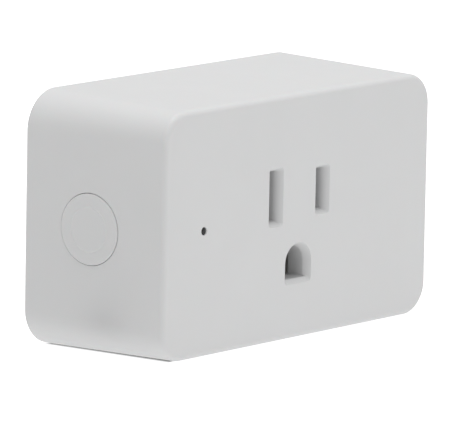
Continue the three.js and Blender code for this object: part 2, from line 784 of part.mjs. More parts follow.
const TALL_PARTS = [
  { name: 'relay', solid: relaySolid(), material: MATERIALS.relay, x: 20.2, z: 7.6 },
  { name: 'film_capacitor', solid: filmCapacitorSolid(), material: MATERIALS.film, x: -17.4, z: 10.8 },
  { name: 'varistor', solid: varistorSolid(), material: MATERIALS.varistor, x: 31.2, z: 5.8 },
  { name: 'input_fuse', solid: fuseSolid(), material: MATERIALS.fuse, x: 31.4, z: -5.6 },
];
const tallParts = TALL_PARTS.map(({ name, solid, material, x, z }) => (
  onBoardFront(piece(name, solid, material), x, z)
));

const DRUMS = [
  { name: 'converter_inductor', radius: 4.2, height: 9.6, flange: 1.3, x: 17.4, z: -8.6 },
  { name: 'filter_inductor', radius: 2.9, height: 7.6, flange: 1.0, x: 23.6, z: -15.0 },
];
const drumPieces = DRUMS.flatMap(({ name, radius, height, flange, x, z }) => [
  onBoardFront(piece(`${name}_core`, drumCore(radius, height, flange), MATERIALS.ferrite), x, z),
  onBoardFront(piece(`${name}_winding`, drumWinding(radius, height, flange), MATERIALS.copper), x, z),
]);

const CANS = [
  { name: 'bulk_capacitor_1', radius: 4.0, height: 13.0, x: -17.4, z: -2.4 },
  { name: 'bulk_capacitor_2', radius: 4.0, height: 13.0, x: -17.4, z: -12.0 },
  { name: 'output_capacitor', radius: 3.15, height: 11.0, x: 26.0, z: -7.4 },
];
const cans = CANS.map(({ name, radius, height, x, z }) => (
  onBoardFront(piece(name, canCapacitor(radius, height), MATERIALS.sleeve), x, z)
));

const CHIPS = [
  { name: 'bridge_rectifier', size: [4.0, 4.8, 2.4, 2, 2.5, 0.7], x: -19.5, z: -8.0 },
  { name: 'metering_chip', size: [3.9, 4.9, 1.5, 4, 1.27, 0.42], x: -19.5, z: 6.0 },
  { name: 'converter_chip', size: [3.9, 4.9, 1.5, 4, 1.27, 0.42], x: 18.0, z: -8.5 },
  { name: 'regulator_chip', size: [3.5, 6.5, 1.6, 2, 4.6, 0.8], x: 26.0, z: -8.5 },
  { name: 'relay_driver', size: [1.5, 2.9, 1.1, 2, 1.9, 0.4], x: 17.0, z: 11.0 },
  { name: 'flyback_diode', size: [2.6, 1.6, 1.1, 1, 1.0, 1.3], x: 23.5, z: 11.0 },
];
const currentShunt = onBoardRear(piece('current_shunt', shuntSolid(), MATERIALS.copper), 18.4, 3.0);
const chips = CHIPS.map(({ name, size, x, z }) => (
  onBoardRear(piece(name, chip(...size), MATERIALS.darkPlastic), x, z)
));

// ---------------------------------------------------------------- control board, switch and light

const controlBoard = block(
  [CONTROL_OUTER_X, CONTROL_INNER_X],
  [CONTROL_FRONT_Y, CONTROL_REAR_Y],
  [-CONTROL_HALF_HEIGHT, CONTROL_HALF_HEIGHT],
);

/** The pin header that joins the two boards: a bar with a pin row standing out of it. */
function boardHeader() {
  const pins = 4;
  const pitch = 2.54;
  const bar = block([-1.25, 1.25], [0, 2.4], [(-pins * pitch) / 2, (pins * pitch) / 2]);
  const row = Array.from({ length: pins }, (_, i) => {
    const z = (i - (pins - 1) / 2) * pitch;
    return block([-0.32, 0.32], [2.2, 3.6], [z - 0.32, z + 0.32]);
  });
  return join(bar, ...row);
}

const HEADER_Z = 7.0;
const MODULE = { length: 12.0, width: 10.4, thickness: 0.8, y: -16.2, z: -6.9 };
const SHIELD = { length: 8.4, width: 8.8, height: 2.2, y: -14.8 };
const SWITCH_BASE = 3.4;
const SWITCH_CAVITY_RADIUS = 2.6;
const SWITCH_CAVITY_FLOOR = 1.4;
const PLUNGER_RADIUS = 1.7;

/** The wireless module's board and the shield can that stands on it. */
function wirelessPieces() {
  const { length, width, thickness, y, z } = MODULE;
  const board = piece('wifi_module', roundedBox(length, width, thickness, 0.3), MATERIALS.module);
  const can = roundedBox(SHIELD.length, SHIELD.width, SHIELD.height, 0.4);
  const shield = piece('wifi_shield', can, MATERIALS.steel);
  onControlInner(board, y, z);
  onControlInner(shield, SHIELD.y, z);
  shield.position.x += thickness + SEAT;
  return [board, shield];
}

function switchBase() {
  const half = SWITCH_SIZE / 2;
  const body = block([-half, half], [0, SWITCH_BASE], [-half, half]);
  return cut(body, rod(SWITCH_CAVITY_RADIUS, [SWITCH_CAVITY_FLOOR, SWITCH_BASE + 1], 0, 0, 28));
}

function switchCover() {
  const half = SWITCH_SIZE / 2;
  const low = SWITCH_BASE + SEAT;
  const plate = block([-half, half], [low, low + 0.25], [-half, half]);
  return cut(plate, rod(PLUNGER_RADIUS + GAP, [low - 1, low + 1], 0, 0, 28));
}

/** The snap dome, drawn at its pressed height. */
function switchDome() {
  return turned([[0, 1.68], [1.3, 1.62], [2.4, 1.5], [2.4, 1.62], [1.3, 1.74], [0, 1.8]], 20);
}

/** The plunger: a nub over the dome, a flange under the cover and a shaft towards the button. */
function switchPlunger() {
  return turned([
    [0, 2.3],
    [1.0, 2.3],
    [1.0, 2.8],
    [2.3, 2.8],
    [2.3, 3.3],
    [PLUNGER_RADIUS, 3.3],
    [PLUNGER_RADIUS, 4.35],
    [PLUNGER_RADIUS - 0.25, 4.6],
    [0, 4.6],
  ], 20);
}

/** The button: a cupped cap just proud of the drafted side, a flange inside the wall and a stem. */
function buttonCap() {
  const wallInnerX = -(FRONT_WIDTH / 2 + BUTTON_DEPTH * Math.tan(DRAFT) - WALL);
  const flangeOuterX = wallInnerX + GAP + BUTTON_FLANGE * Math.tan(DRAFT);
  const flangeInnerX = flangeOuterX + 0.8;
  const cupRadius = 5.0;
  const cupFloorX = wallInnerX - 0.75;
  const profile = [
    [0, -40],
    [BUTTON_RADIUS, -40],
    [BUTTON_RADIUS, flangeOuterX],
    [BUTTON_FLANGE, flangeOuterX],
    [BUTTON_FLANGE, flangeInnerX],
    [cupRadius, flangeInnerX],
    [cupRadius, cupFloorX],
    [STEM_RADIUS, cupFloorX],
    [STEM_RADIUS, STEM_END_X],
    [0, STEM_END_X],
  ];
  const cap = turned(profile, 48).rotate(0, 0, -90).translate(0, BUTTON_Y, 0);
  return cap.intersect(housingBlock().translate(-BUTTON_PROUD, 0, 0));
}

/** The light pipe: a thin tip in the pinhole, a collar behind the face and a rod to the light. */
function lightPipe() {
  const tipRadius = LED_HOLE_RADIUS - SEAT;
  const tipY = FRONT_Y + 0.15;
  const collarFront = FACE_INNER_Y + SEAT;
  return turned([
    [0, tipY],
    [tipRadius, tipY],
    [tipRadius, collarFront],
    [1.4, collarFront],
    [1.4, collarFront + 0.8],
    [0.9, collarFront + 0.8],
    [0.9, -24.9],
    [0, -24.9],
  ], 16).translate(LED_X, 0, LED_Z);
}

/** The side-firing status light: a carrier block with a small window towards the light pipe. */
function statusLed() {
  const body = block([-0.6, 0.6], [0, 1.2], [-1.5, 1.5]);
  const window = block([0.5, 1.0], [0.25, 0.95], [-0.7, 0.7]);
  return cut(body, window);
}

// ---------------------------------------------------------------- assembly

const group = new THREE.Group();

const housing = new THREE.Group();
housing.add(piece('front_shell', frontShell(), MATERIALS.housing));
housing.add(piece('rear_cover', rearCover(), MATERIALS.housing));
housing.add(...rearScrews);
group.add(housing);

const prongs = new THREE.Group();
prongs.add(piece('blade_retainer', bladeRetainer(), MATERIALS.insulator));
prongs.add(piece('neutral_blade', blade(POLES.neutral), MATERIALS.nickel));
prongs.add(piece('line_blade', blade(POLES.line), MATERIALS.nickel));
prongs.add(piece('ground_pin', groundPin(), MATERIALS.nickel));
prongs.add(...retainerScrews);
group.add(prongs);

const outlet = new THREE.Group();
outlet.add(piece('contact_carrier', contactCarrier(), MATERIALS.insulator));
outlet.add(...bladeContacts, groundContact);
group.add(outlet);

const power = new THREE.Group();
power.add(piece('main_board', mainBoard(), MATERIALS.board));
power.add(...tallParts, ...cans, ...drumPieces, ...chips, currentShunt);
group.add(power);

const control = new THREE.Group();
control.add(piece('control_board', controlBoard, MATERIALS.board));
const header = piece('board_header', boardHeader(), MATERIALS.darkPlastic);
control.add(onBoardFront(header, CONTROL_INNER_X + 1.5, HEADER_Z));
control.add(...wirelessPieces());
control.add(onControlInner(piece('status_led', statusLed(), MATERIALS.clear), -24.1, LED_Z));
control.add(piece('light_pipe', lightPipe(), MATERIALS.smoked));
group.add(control);

const tactSwitch = new THREE.Group();
const switchPieces = [
  piece('switch_base', switchBase(), MATERIALS.darkPlastic),
  piece('switch_cover', switchCover(), MATERIALS.steel),
  piece('switch_dome', switchDome(), MATERIALS.steel),
  piece('switch_plunger', switchPlunger(), MATERIALS.darkPlastic),
];
tactSwitch.add(...switchPieces);
onControlOuter(tactSwitch, BUTTON_Y, 0);
group.add(tactSwitch);

group.add(piece('button_cap', buttonCap(), MATERIALS.button));

export default group;
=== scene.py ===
"""The looks of a grounded smart plug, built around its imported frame.

Lengths here are millimetres and become metres when a mesh is made. Seen from the front, X points
right and Z points up. The front face is at y = -DEPTH and the rear face, against the wall, at y = 0.
"""
import math

import bmesh
import bpy
from mathutils import Matrix, Vector
from mathutils.geometry import delaunay_2d_cdt


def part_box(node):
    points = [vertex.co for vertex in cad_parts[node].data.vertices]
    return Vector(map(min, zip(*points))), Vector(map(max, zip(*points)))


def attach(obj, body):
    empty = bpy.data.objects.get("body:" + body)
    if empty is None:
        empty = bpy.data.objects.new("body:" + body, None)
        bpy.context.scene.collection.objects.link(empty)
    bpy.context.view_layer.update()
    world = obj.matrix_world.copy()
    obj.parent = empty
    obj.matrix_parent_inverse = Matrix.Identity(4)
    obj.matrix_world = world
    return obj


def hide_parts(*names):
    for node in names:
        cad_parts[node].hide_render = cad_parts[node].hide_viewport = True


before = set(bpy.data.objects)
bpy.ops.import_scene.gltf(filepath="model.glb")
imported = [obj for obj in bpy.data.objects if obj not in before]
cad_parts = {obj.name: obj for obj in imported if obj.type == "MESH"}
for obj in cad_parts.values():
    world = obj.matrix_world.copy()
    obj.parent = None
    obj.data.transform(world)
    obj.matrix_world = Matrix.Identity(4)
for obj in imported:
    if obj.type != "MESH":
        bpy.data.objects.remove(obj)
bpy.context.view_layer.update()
scene = bpy.context.scene

MM = 0.001
TAU = 2 * math.pi
INSIDE = 1


def span(node):
    """A CAD node's lowest corner, highest corner and centre in millimetres."""
    low, high = (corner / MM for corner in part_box(node))
    return low, high, (low + high) / 2


# ---- driving dimensions

SHELL_LOW, SHELL_HIGH, _ = span("front_shell")
DEPTH = -SHELL_LOW.y
REAR_HALF_WIDTH = SHELL_HIGH.x
REAR_HALF_HEIGHT = SHELL_HIGH.z
DRAFT = math.radians(1.6)
SLOPE = math.tan(DRAFT)
FRONT_CORNER = 5.5
REAR_CORNER = 7.0
FRONT_EDGE = 1.0
REAR_EDGE = 0.3
WALL = 2.0
FACE = 2.4
RIM = 1.0
SEAM = 0.15
PAD_Y = span("rear_cover")[0].y
LEDGE_Y = -2.4
COVER_INNER_Y = -2.3
FACE_INNER_Y = -DEPTH + FACE
SOCKET_REAR_Y = FACE_INNER_Y + 2.2
FRONT_Y = -DEPTH
SHOULDER_FRONT_Y = -4.95
SHOULDER_REAR_Y = -3.95

POLE_X = 6.35
POLE_Z = 3.9
GROUND_Z = -8.0
SLOT_WIDTH = 2.4
SLOT_HEIGHTS = {-POLE_X: 8.8, POLE_X: 7.2}
LEAD_IN = 0.7
SLOT_LEAD_IN = {"reach": 1.9, "curve": 2.0}
GROUND_LEAD_IN = {"reach": 1.5, "curve": 1.1}
FOOT_LEAD_IN_RATE = 1.8
GROUND_HALF_WIDTH = 2.85
GROUND_TOP = 2.55
GROUND_FOOT = -3.1
LIGHT_X = -25.6
LIGHT_Z = 0.38
LIGHT_HOLE = 0.72

BUTTON_Y = -14.2
BUTTON_RADIUS = 6.19
BUTTON_HOLE = 6.26
BUTTON_PROUD = 0.2
PAD_RADIUS = 3.9
PAD_RISE = 0.12
BUTTON_FLANGE = 7.2
BUTTON_FLANGE_X = -34.3
STEM_END_X = -32.35
BLADE_WIDTHS = {"neutral_blade": 7.9, "line_blade": 6.35}
BLADE_HOLE_RADIUS = 1.6
BLADE_HOLE_Y = 11.9
PIN_RADIUS = 2.375
PIN_TAIL_RADIUS = 1.5
PIN_COLLAR_RADIUS = 3.375

SCREW_X = 30.4
SCREW_Z = 15.6
RETAINER_SCREW_X = 9.4
RETAINER_SCREW_Z = -9.6
GUIDE_Z = 9.5
CORNERS = ((1, 1), (-1, 1), (-1, -1), (1, -1))

# ---- outlines and rings


def round_rect(half_width, half_height, radius, steps=20, centre=(0, 0)):
    """A rounded rectangle's points as (x, z), anticlockwise seen from the front."""
    points = []
    for corner, (side_x, side_z) in enumerate(CORNERS):
        for i in range(steps + 1):
            angle = (corner + i / steps) * TAU / 4
            x = side_x * (half_width - radius) + radius * math.cos(angle)
            z = side_z * (half_height - radius) + radius * math.sin(angle)
            points.append((centre[0] + x, centre[1] + z))
    return points


def circle(radius, steps, centre=(0, 0)):
    """A circle's points, anticlockwise."""
    turns = [TAU * i / steps for i in range(steps)]
    return [(centre[0] + radius * math.cos(t), centre[1] + radius * math.sin(t)) for t in turns]


def arch(half_width, top, foot, radius, centre):
    """A round-topped opening with a flat foot and small round foot corners."""
    crown, steps, corner_steps = top - half_width, 36, 5
    angles = [TAU / 2 * i / steps for i in range(steps + 1)]
    points = [(half_width * math.cos(a), crown + half_width * math.sin(a)) for a in angles]
    for side, first in ((-1, TAU / 2), (1, TAU * 3 / 4)):
        for i in range(corner_steps + 1):
            angle = first + TAU / 4 * i / corner_steps
            points.append((side * (half_width - radius) + radius * math.cos(angle),
                           foot + radius + radius * math.sin(angle)))
    return [(centre[0] + x, centre[1] + z) for x, z in points]


def arc_steps(steps):
    """(sine, cosine) pairs over a quarter turn."""
    angles = [TAU / 4 * i / steps for i in range(steps + 1)]
    return [(math.sin(a), math.cos(a)) for a in angles]


# ---- mesh building


def add_ring(bm, points):
    return [bm.verts.new(p) for p in points]


def flat_ring(bm, outline, y):
    """A ring along an outline of (x, z) points at a depth."""
    return add_ring(bm, [(x, y, z) for x, z in outline])


def housing_ring(bm, y, inset):
    """A ring around the drafted housing at a depth, drawn in by an inset."""
    taper = y * SLOPE - inset
    radius = REAR_CORNER + (REAR_CORNER - FRONT_CORNER) * y / DEPTH - inset
    return flat_ring(bm, round_rect(REAR_HALF_WIDTH + taper, REAR_HALF_HEIGHT + taper, radius), y)


def skin(bm, rings, skip=()):
    """Joins rings of equal count with four-sided faces. skip holds (ring, segment) pairs left open."""
    for number, (ring, following) in enumerate(zip(rings, rings[1:])):
        count = len(ring)
        for i in range(count):
            if (number, i) in skip:
                continue
            j = (i + 1) % count
            bm.faces.new((ring[i], following[i], following[j], ring[j]))


def area(polygon):
    """A flat polygon's area, positive when it runs anticlockwise."""
    return sum(a.cross(b) for a, b in zip(polygon, polygon[1:] + polygon[:1])) / 2


def fill(bm, *loops):
    """Fills the flat region between an outer loop of vertices and the loops inside it."""
    corners = [vertex for loop in loops for vertex in loop]
    spans = [max(v.co[axis] for v in corners) - min(v.co[axis] for v in corners) for axis in range(3)]
    across = [axis for axis in range(3) if axis != spans.index(min(spans))]
    flat = [Vector((v.co[across[0]], v.co[across[1]])) for v in corners]
    polygons, first = [], 0
    for loop in loops:
        numbers = list(range(first, first + len(loop)))
        first += len(loop)
        polygons.append(numbers if area([flat[i] for i in numbers]) > 0 else numbers[::-1])
    result = delaunay_2d_cdt(flat, [], polygons, INSIDE, 1e-6)
    triangles, origins, polygons_around = result[2], result[3], result[5]
    for triangle, around in zip(triangles, polygons_around):
        if list(around) == [0]:
            bm.faces.new([corners[origins[i][0]] for i in triangle])


def lathe(bm, profile, axis, centre, steps):
    """Turns [radius, along] points about an axis. Points on the axis close the piece."""
    rings = []
    for radius, along in profile:
        count = 1 if radius == 0 else steps
        points = []
        for i in range(count):
            angle = TAU * i / steps
            u, v = radius * math.cos(angle), radius * math.sin(angle)
            flat = {"x": (along, u, v), "y": (v, along, u), "z": (u, v, along)}[axis]
            points.append([c + f for c, f in zip(centre, flat)])
        rings.append(add_ring(bm, points))
    for ring, following in zip(rings, rings[1:]):
        for i in range(steps):
            j = (i + 1) % steps
            around = ((ring, i), (following, i), (following, j), (ring, j))
            corners = list(dict.fromkeys(each[k % len(each)] for each, k in around))
            if len(corners) > 2:
                bm.faces.new(corners)
    return rings


def rounded(points, radii, steps):
    """A profile with its inner corners rounded: radii gives each point's radius, 0 for none."""
    points = [Vector(p) for p in points]
    result = [points[0]]
    for before, here, after, radius in zip(points, points[1:], points[2:], radii[1:-1]):
        if not radius:
            result.append(here)
            continue
        into, out = before - here, after - here
        half = into.angle(out) / 2
        reach = min(radius / math.tan(half), 0.49 * into.length, 0.49 * out.length)
        middle = (into.normalized() + out.normalized()).normalized()
        centre = here + middle * (reach / math.cos(half))
        start = here + into.normalized() * reach - centre
        end = here + out.normalized() * reach - centre
        swing = start.angle_signed(end)
        for i in range(steps + 1):
            result.append(centre + Matrix.Rotation(-swing * i / steps, 2) @ start)
    result.append(points[-1])
    return result


def show(name, data):
    """Puts a new object into the scene."""
    thing = bpy.data.objects.new(name, data)
    scene.collection.objects.link(thing)
    return thing


def mesh_of(name, bm):
    """Turns a bmesh in millimetres into a mesh in metres."""
    mesh = bpy.data.meshes.new(name)
    bm.to_mesh(mesh)
    bm.free()
    mesh.transform(Matrix.Scale(MM, 4))
    return mesh


def make(name, bm, material, stands_for=(), body="housing", sharp=30.0):
    """Turns a bmesh in millimetres into a smooth-shaded piece that rides on a body.

    material is one material, or a list of them that the faces' material indices point into.
    """
    bmesh.ops.recalc_face_normals(bm, faces=bm.faces)
    mesh = mesh_of(name, bm)
    mesh.shade_smooth()
    mesh.set_sharp_from_angle(angle=math.radians(sharp))
    for each in material if isinstance(material, list) else [material]:
        mesh.materials.append(each)
    piece = show(name, mesh)
    weigh(piece)
    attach(piece, body)
    if stands_for:
        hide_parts(*stands_for)
    return piece


def weigh(piece):
    """Keeps flat faces flat beside rounded edges."""
    weighted = piece.modifiers.new("flat faces", "WEIGHTED_NORMAL")
    weighted.keep_sharp = True
    weighted.weight = 80


# ---- materials


class Nodes:
    """A short way to write a material's nodes."""

    def __init__(self, name):
        self.material = bpy.data.materials.new(name)
        self.material.use_nodes = True
        self.tree = self.material.node_tree
        self.shader = self.tree.nodes["Principled BSDF"]
        self.place = self.add("ShaderNodeTexCoord").outputs["Object"]

    def add(self, kind, inputs=None, **settings):
        node = self.tree.nodes.new(kind)
        for key, value in settings.items():
            setattr(node, key, value)
        for key, value in (inputs or {}).items():
            self.feed(node.inputs[key], value)
        return node

    def feed(self, socket, value):
        if isinstance(value, bpy.types.NodeSocket):
            self.tree.links.new(value, socket)
        else:
            socket.default_value = value

    def set(self, **values):
        for key, value in values.items():
            self.feed(self.shader.inputs[key.replace("_", " ")], value)

    def noise(self, size, detail=4.0, roughness=0.5, place=None):
        """Smooth noise with features of about a size in millimetres, from 0 to 1."""
        inputs = {"Vector": place or self.place, "Scale": 1 / (size * MM), "Detail": detail,
                  "Roughness": roughness}
        return self.add("ShaderNodeTexNoise", inputs).outputs["Fac"]

    def range(self, value, low, high, start=0.3, end=0.7):
        """Maps a value between start and end onto low and high."""
        inputs = {"Value": value, "From Min": start, "From Max": end, "To Min": low, "To Max": high}
        return self.add("ShaderNodeMapRange", inputs).outputs["Result"]

    def ramp(self, value, stops):
        """A colour ramp from (position, colour) stops."""
        node = self.add("ShaderNodeValToRGB", {"Fac": value})
        elements = node.color_ramp.elements
        while len(elements) < len(stops):
            elements.new(0.5)
        for element, (position, colour) in zip(elements, stops):
            element.position = position
            element.color = (*colour, 1)
        return node.outputs["Color"]

    def drift(self, value, colour, spread, start=0.3):
        """A colour that grows lighter by a spread as a value rises, or darker if the spread is negative."""
        first, last = ([c * (1 + side * spread) for c in colour] for side in (-1, 1))
        return self.ramp(value, [(start, first), (1 - start, last)])

    def maths(self, operation, a, b=0.0):
        return self.add("ShaderNodeMath", {0: a, 1: b}, operation=operation).outputs["Value"]

    def bump(self, height, depth):
        """Raises the surface by a height from 0 to 1 over a depth in millimetres."""
        inputs = {"Height": height, "Distance": depth * MM, "Strength": 1.0}
        self.set(Normal=self.add("ShaderNodeBump", inputs).outputs["Normal"])


def moulded(name, colour, roughness, grain=0.12, relief=0.003, spread=0.004, subsurface=0.0, specular=0.5):
    """Injection-moulded plastic: faint colour drift, a fine spark-eroded grain and soft gloss."""
    n = Nodes(name)
    n.set(Base_Color=n.drift(n.noise(9.0, 2.0), colour, spread, 0.35))
    n.set(Roughness=n.range(n.noise(2.5, 3.0), roughness - 0.03, roughness + 0.03))
    n.set(Subsurface_Weight=subsurface, Subsurface_Scale=0.6 * MM, Specular_IOR_Level=specular)
    n.bump(n.noise(grain, 3.0), relief)
    return n.material


def painted_shade_inside(name, colour, roughness):
    """The housing's plastic on its inner faces: duller, with painted shade that grows darker with depth
    behind the front face.
    """
    n = Nodes(name)
    depth = n.add("ShaderNodeSeparateXYZ", {"Vector": n.place}).outputs["Y"]
    # painted shade: the colour darkens to 72% of itself five millimetres behind the front face
    shade = n.ramp(n.range(depth, 0.0, 1.0, (FRONT_Y + 0.1) * MM, (FRONT_Y + 5.0) * MM),
                   [(0.0, colour), (0.25, [c * 0.90 for c in colour]), (1.0, [c * 0.72 for c in colour])])
    n.set(Base_Color=shade, Roughness=n.range(n.noise(2.5, 3.0), roughness - 0.04, roughness + 0.04))
    n.bump(n.noise(0.2, 3.0), 0.004)
    return n.material


def plated(name, colour, roughness, streak=(1, 1, 1)):
    """Metal with a rolled or plated skin: fine streaks, slight stains and soft wear."""
    n = Nodes(name)
    stretched = n.add("ShaderNodeMapping", {"Vector": n.place, "Scale": streak}).outputs["Vector"]
    lines = n.noise(0.35, 5.0, 0.6, stretched)
    n.set(Base_Color=n.drift(n.noise(3.0, 4.0), colour, 0.07), Metallic=1.0)
    n.set(Roughness=n.range(lines, roughness - 0.06, roughness + 0.09))
    n.bump(lines, 0.002)
    return n.material


WHITE = (0.80, 0.803, 0.805)
POLYCARBONATE_IOR = 1.58
HOUSING = moulded("white satin plastic", WHITE, 0.48, subsurface=0.03, specular=0.35)
# the inner faces' plastic, with painted shade deeper in
HOUSING_INSIDE_PAINTED_SHADE = painted_shade_inside("white plastic, inner faces, painted shade", WHITE, 0.6)
BUTTON = moulded("white button plastic", WHITE, 0.46, subsurface=0.03, specular=0.35)
INSULATOR = moulded("off-white insulator", (0.776, 0.776, 0.76), 0.55, grain=0.2, relief=0.006)
DARK_PLASTIC = moulded("dark moulding compound", (0.022, 0.022, 0.025), 0.5, grain=0.1, relief=0.006)
NICKEL = plated("nickel-plated brass", (0.74, 0.71, 0.66), 0.24, streak=(1, 0.12, 1))
STEEL = plated("zinc-plated steel", (0.62, 0.64, 0.66), 0.3)
TINNED = plated("tinned contact metal", (0.70, 0.69, 0.66), 0.32, streak=(1, 1, 0.15))


def clear_plastic():
    """The status lamp's water-clear lens."""
    n = Nodes("clear polycarbonate")
    n.set(Base_Color=(0.62, 0.66, 0.68, 1), Transmission_Weight=0.9, IOR=POLYCARBONATE_IOR)
    n.set(Roughness=n.range(n.noise(0.4, 3.0), 0.04, 0.14))
    n.bump(n.noise(0.15, 2.0), 0.001)
    return n.material


CLEAR = clear_plastic()

# ---- materials inside


def circuit_board(name, mask, across, along):
    """Solder mask over copper in the plane of two axes: pours parted by narrow gaps, with tinned vias."""
    n = Nodes(name)
    parts = n.add("ShaderNodeSeparateXYZ", {"Vector": n.place}).outputs
    flat = n.add("ShaderNodeCombineXYZ", {"X": parts[across], "Y": parts[along]}).outputs["Vector"]
    pour_size, via_pitch = 5 * MM, 2.6 * MM
    inputs = {"Vector": flat, "Scale": 1 / pour_size}
    nearest, second = (n.add("ShaderNodeTexVoronoi", inputs, feature=feature, distance="CHEBYCHEV")
                       .outputs["Distance"] for feature in ("F1", "F2"))
    gaps = n.range(n.maths("SUBTRACT", second, nearest), 1.0, 0.0, 0.05, 0.09)
    vias = n.add("ShaderNodeTexVoronoi", {"Vector": flat, "Scale": 1 / via_pitch}).outputs["Distance"]
    ring = n.range(vias, 1.0, 0.0, 0.10, 0.13)
    green = n.drift(gaps, mask, -0.35, 0.1)
    tin = (0.62, 0.61, 0.58, 1)
    colour = n.add("ShaderNodeMix", {"Factor": ring, "A": green, "B": tin}, data_type="RGBA")
    n.set(Base_Color=colour.outputs["Result"], Metallic=ring)
    n.set(Roughness=n.range(n.noise(0.8, 3.0), 0.28, 0.42))
    n.bump(gaps, -0.03)
    return n.material


def enamelled(name, colour):
    """Round wire under a clear red-brown enamel."""
    n = Nodes(name)
    n.set(Base_Color=n.drift(n.noise(1.2, 3.0), colour, 0.18), Metallic=0.9)
    n.set(Roughness=n.range(n.noise(0.3, 3.0), 0.22, 0.4), Coat_Weight=0.6)
    return n.material


def sintered(name, colour):
    """Ferrite: matt, grainy and slightly glittering."""
    n = Nodes(name)
    grains = n.noise(0.12, 6.0, 0.7)
    n.set(Base_Color=n.drift(grains, colour, 0.35, 0.35), Metallic=0.25)
    n.set(Roughness=n.range(grains, 0.7, 0.45))
    n.bump(grains, 0.012)
    return n.material


def dipped(name, colour, roughness=0.22, relief=0.03):
    """A dipped or potted coat with a gently wavy gloss."""
    n = Nodes(name)
    waves = n.noise(2.2, 2.0)
    n.set(Base_Color=n.drift(waves, colour, 0.12))
    n.set(Roughness=n.range(n.noise(0.7, 3.0), roughness - 0.06, roughness + 0.08), Coat_Weight=0.3)
    n.bump(waves, relief)
    return n.material


def pinhole_shade_plastic():
    """The status light's pipe in near-black, slightly clear plastic, whose tip paints the shade in the
    front face's pinhole.
    """
    n = Nodes("near-black polycarbonate, painted pinhole shade")
    dark, light = (0.014, 0.014, 0.016), (0.02, 0.02, 0.022)
    # painted shade: a near-black colour that makes the pinhole read dark
    n.set(Base_Color=n.ramp(n.noise(0.5, 2.0), [(0.3, dark), (0.7, light)]))
    n.set(Roughness=n.range(n.noise(0.4, 3.0), 0.2, 0.34), Transmission_Weight=0.25, IOR=POLYCARBONATE_IOR)
    n.set(Specular_IOR_Level=0.3)
    return n.material


BOARD = circuit_board("green board", (0.03, 0.16, 0.07), "X", "Z")
UPRIGHT_BOARD = circuit_board("green upright board", (0.03, 0.16, 0.07), "Y", "Z")
MODULE_BOARD = circuit_board("blue module board", (0.03, 0.05, 0.16), "Y", "Z")
RELAY_CASE = moulded("blue relay case", (0.05, 0.17, 0.45), 0.4, grain=0.1, relief=0.005, spread=0.03)
FILM = dipped("yellow potted box", (0.72, 0.50, 0.06), 0.3, relief=0.01)
LACQUER = dipped("blue epoxy lacquer", (0.04, 0.16, 0.38))
SLEEVE = dipped("black shrink sleeve", (0.03, 0.035, 0.04), 0.28, relief=0.008)
FUSE_COAT = dipped("green flameproof coat", (0.10, 0.32, 0.20), 0.55, relief=0.02)
FERRITE = sintered("sintered ferrite", (0.06, 0.06, 0.065))
COPPER = enamelled("enamelled copper", (0.55, 0.22, 0.08))
BARE_CAN = plated("bare aluminium", (0.78, 0.79, 0.80), 0.28)
SOLDER = plated("solder", (0.66, 0.66, 0.66), 0.22)
PINHOLE_PAINTED_SHADE = pinhole_shade_plastic()

# ---- housing


def lead_in_rings(bm, outline, reach, curve):
    """Rings of a hole from the front face inwards: a soft rim, then a lead-in that curves into the walls.

    outline takes an offset and gives the hole's outline grown by it. reach is the lead-in's depth, and
    curve is 1 for a straight lead-in and more for a rounder one.
    """
    soft, curve_steps = 0.1, 8
    steps = [(LEAD_IN + soft, 0.0), (LEAD_IN + soft * 0.4, soft * 0.15)]
    shares = [i / curve_steps for i in range(curve_steps + 1)]
    steps += [(LEAD_IN * (1 - share) ** curve, soft + (reach - soft) * share) for share in shares]
    rings = [flat_ring(bm, outline(offset), FRONT_Y + depth) for offset, depth in steps]
    rings.append(flat_ring(bm, outline(0.0), SOCKET_REAR_Y))
    return rings


def slot_outline(x, height):
    def outline(offset):
        radius = 0.15 + 0.6 * offset
        return round_rect(SLOT_WIDTH / 2 + offset, height / 2 + offset, radius, 5, (x, POLE_Z))
    return outline


def ground_outline(offset):
    """The ground hole's outline grown by an offset. The foot's lead-in is shorter than the other sides'."""
    foot = offset if offset > LEAD_IN else max(0.0, LEAD_IN - FOOT_LEAD_IN_RATE * (LEAD_IN - offset))
    radius = 0.2 + 0.6 * offset
    return arch(GROUND_HALF_WIDTH + offset, GROUND_TOP + offset, GROUND_FOOT - foot, radius, (0, GROUND_Z))


def side_ring(bm, radius, depth):
    """A ring around the button, sunk by a depth into the drafted left side."""
    outline = circle(radius, 96, (BUTTON_Y, 0))
    return add_ring(bm, [(depth - REAR_HALF_WIDTH - y * SLOPE, y, z) for y, z in outline])


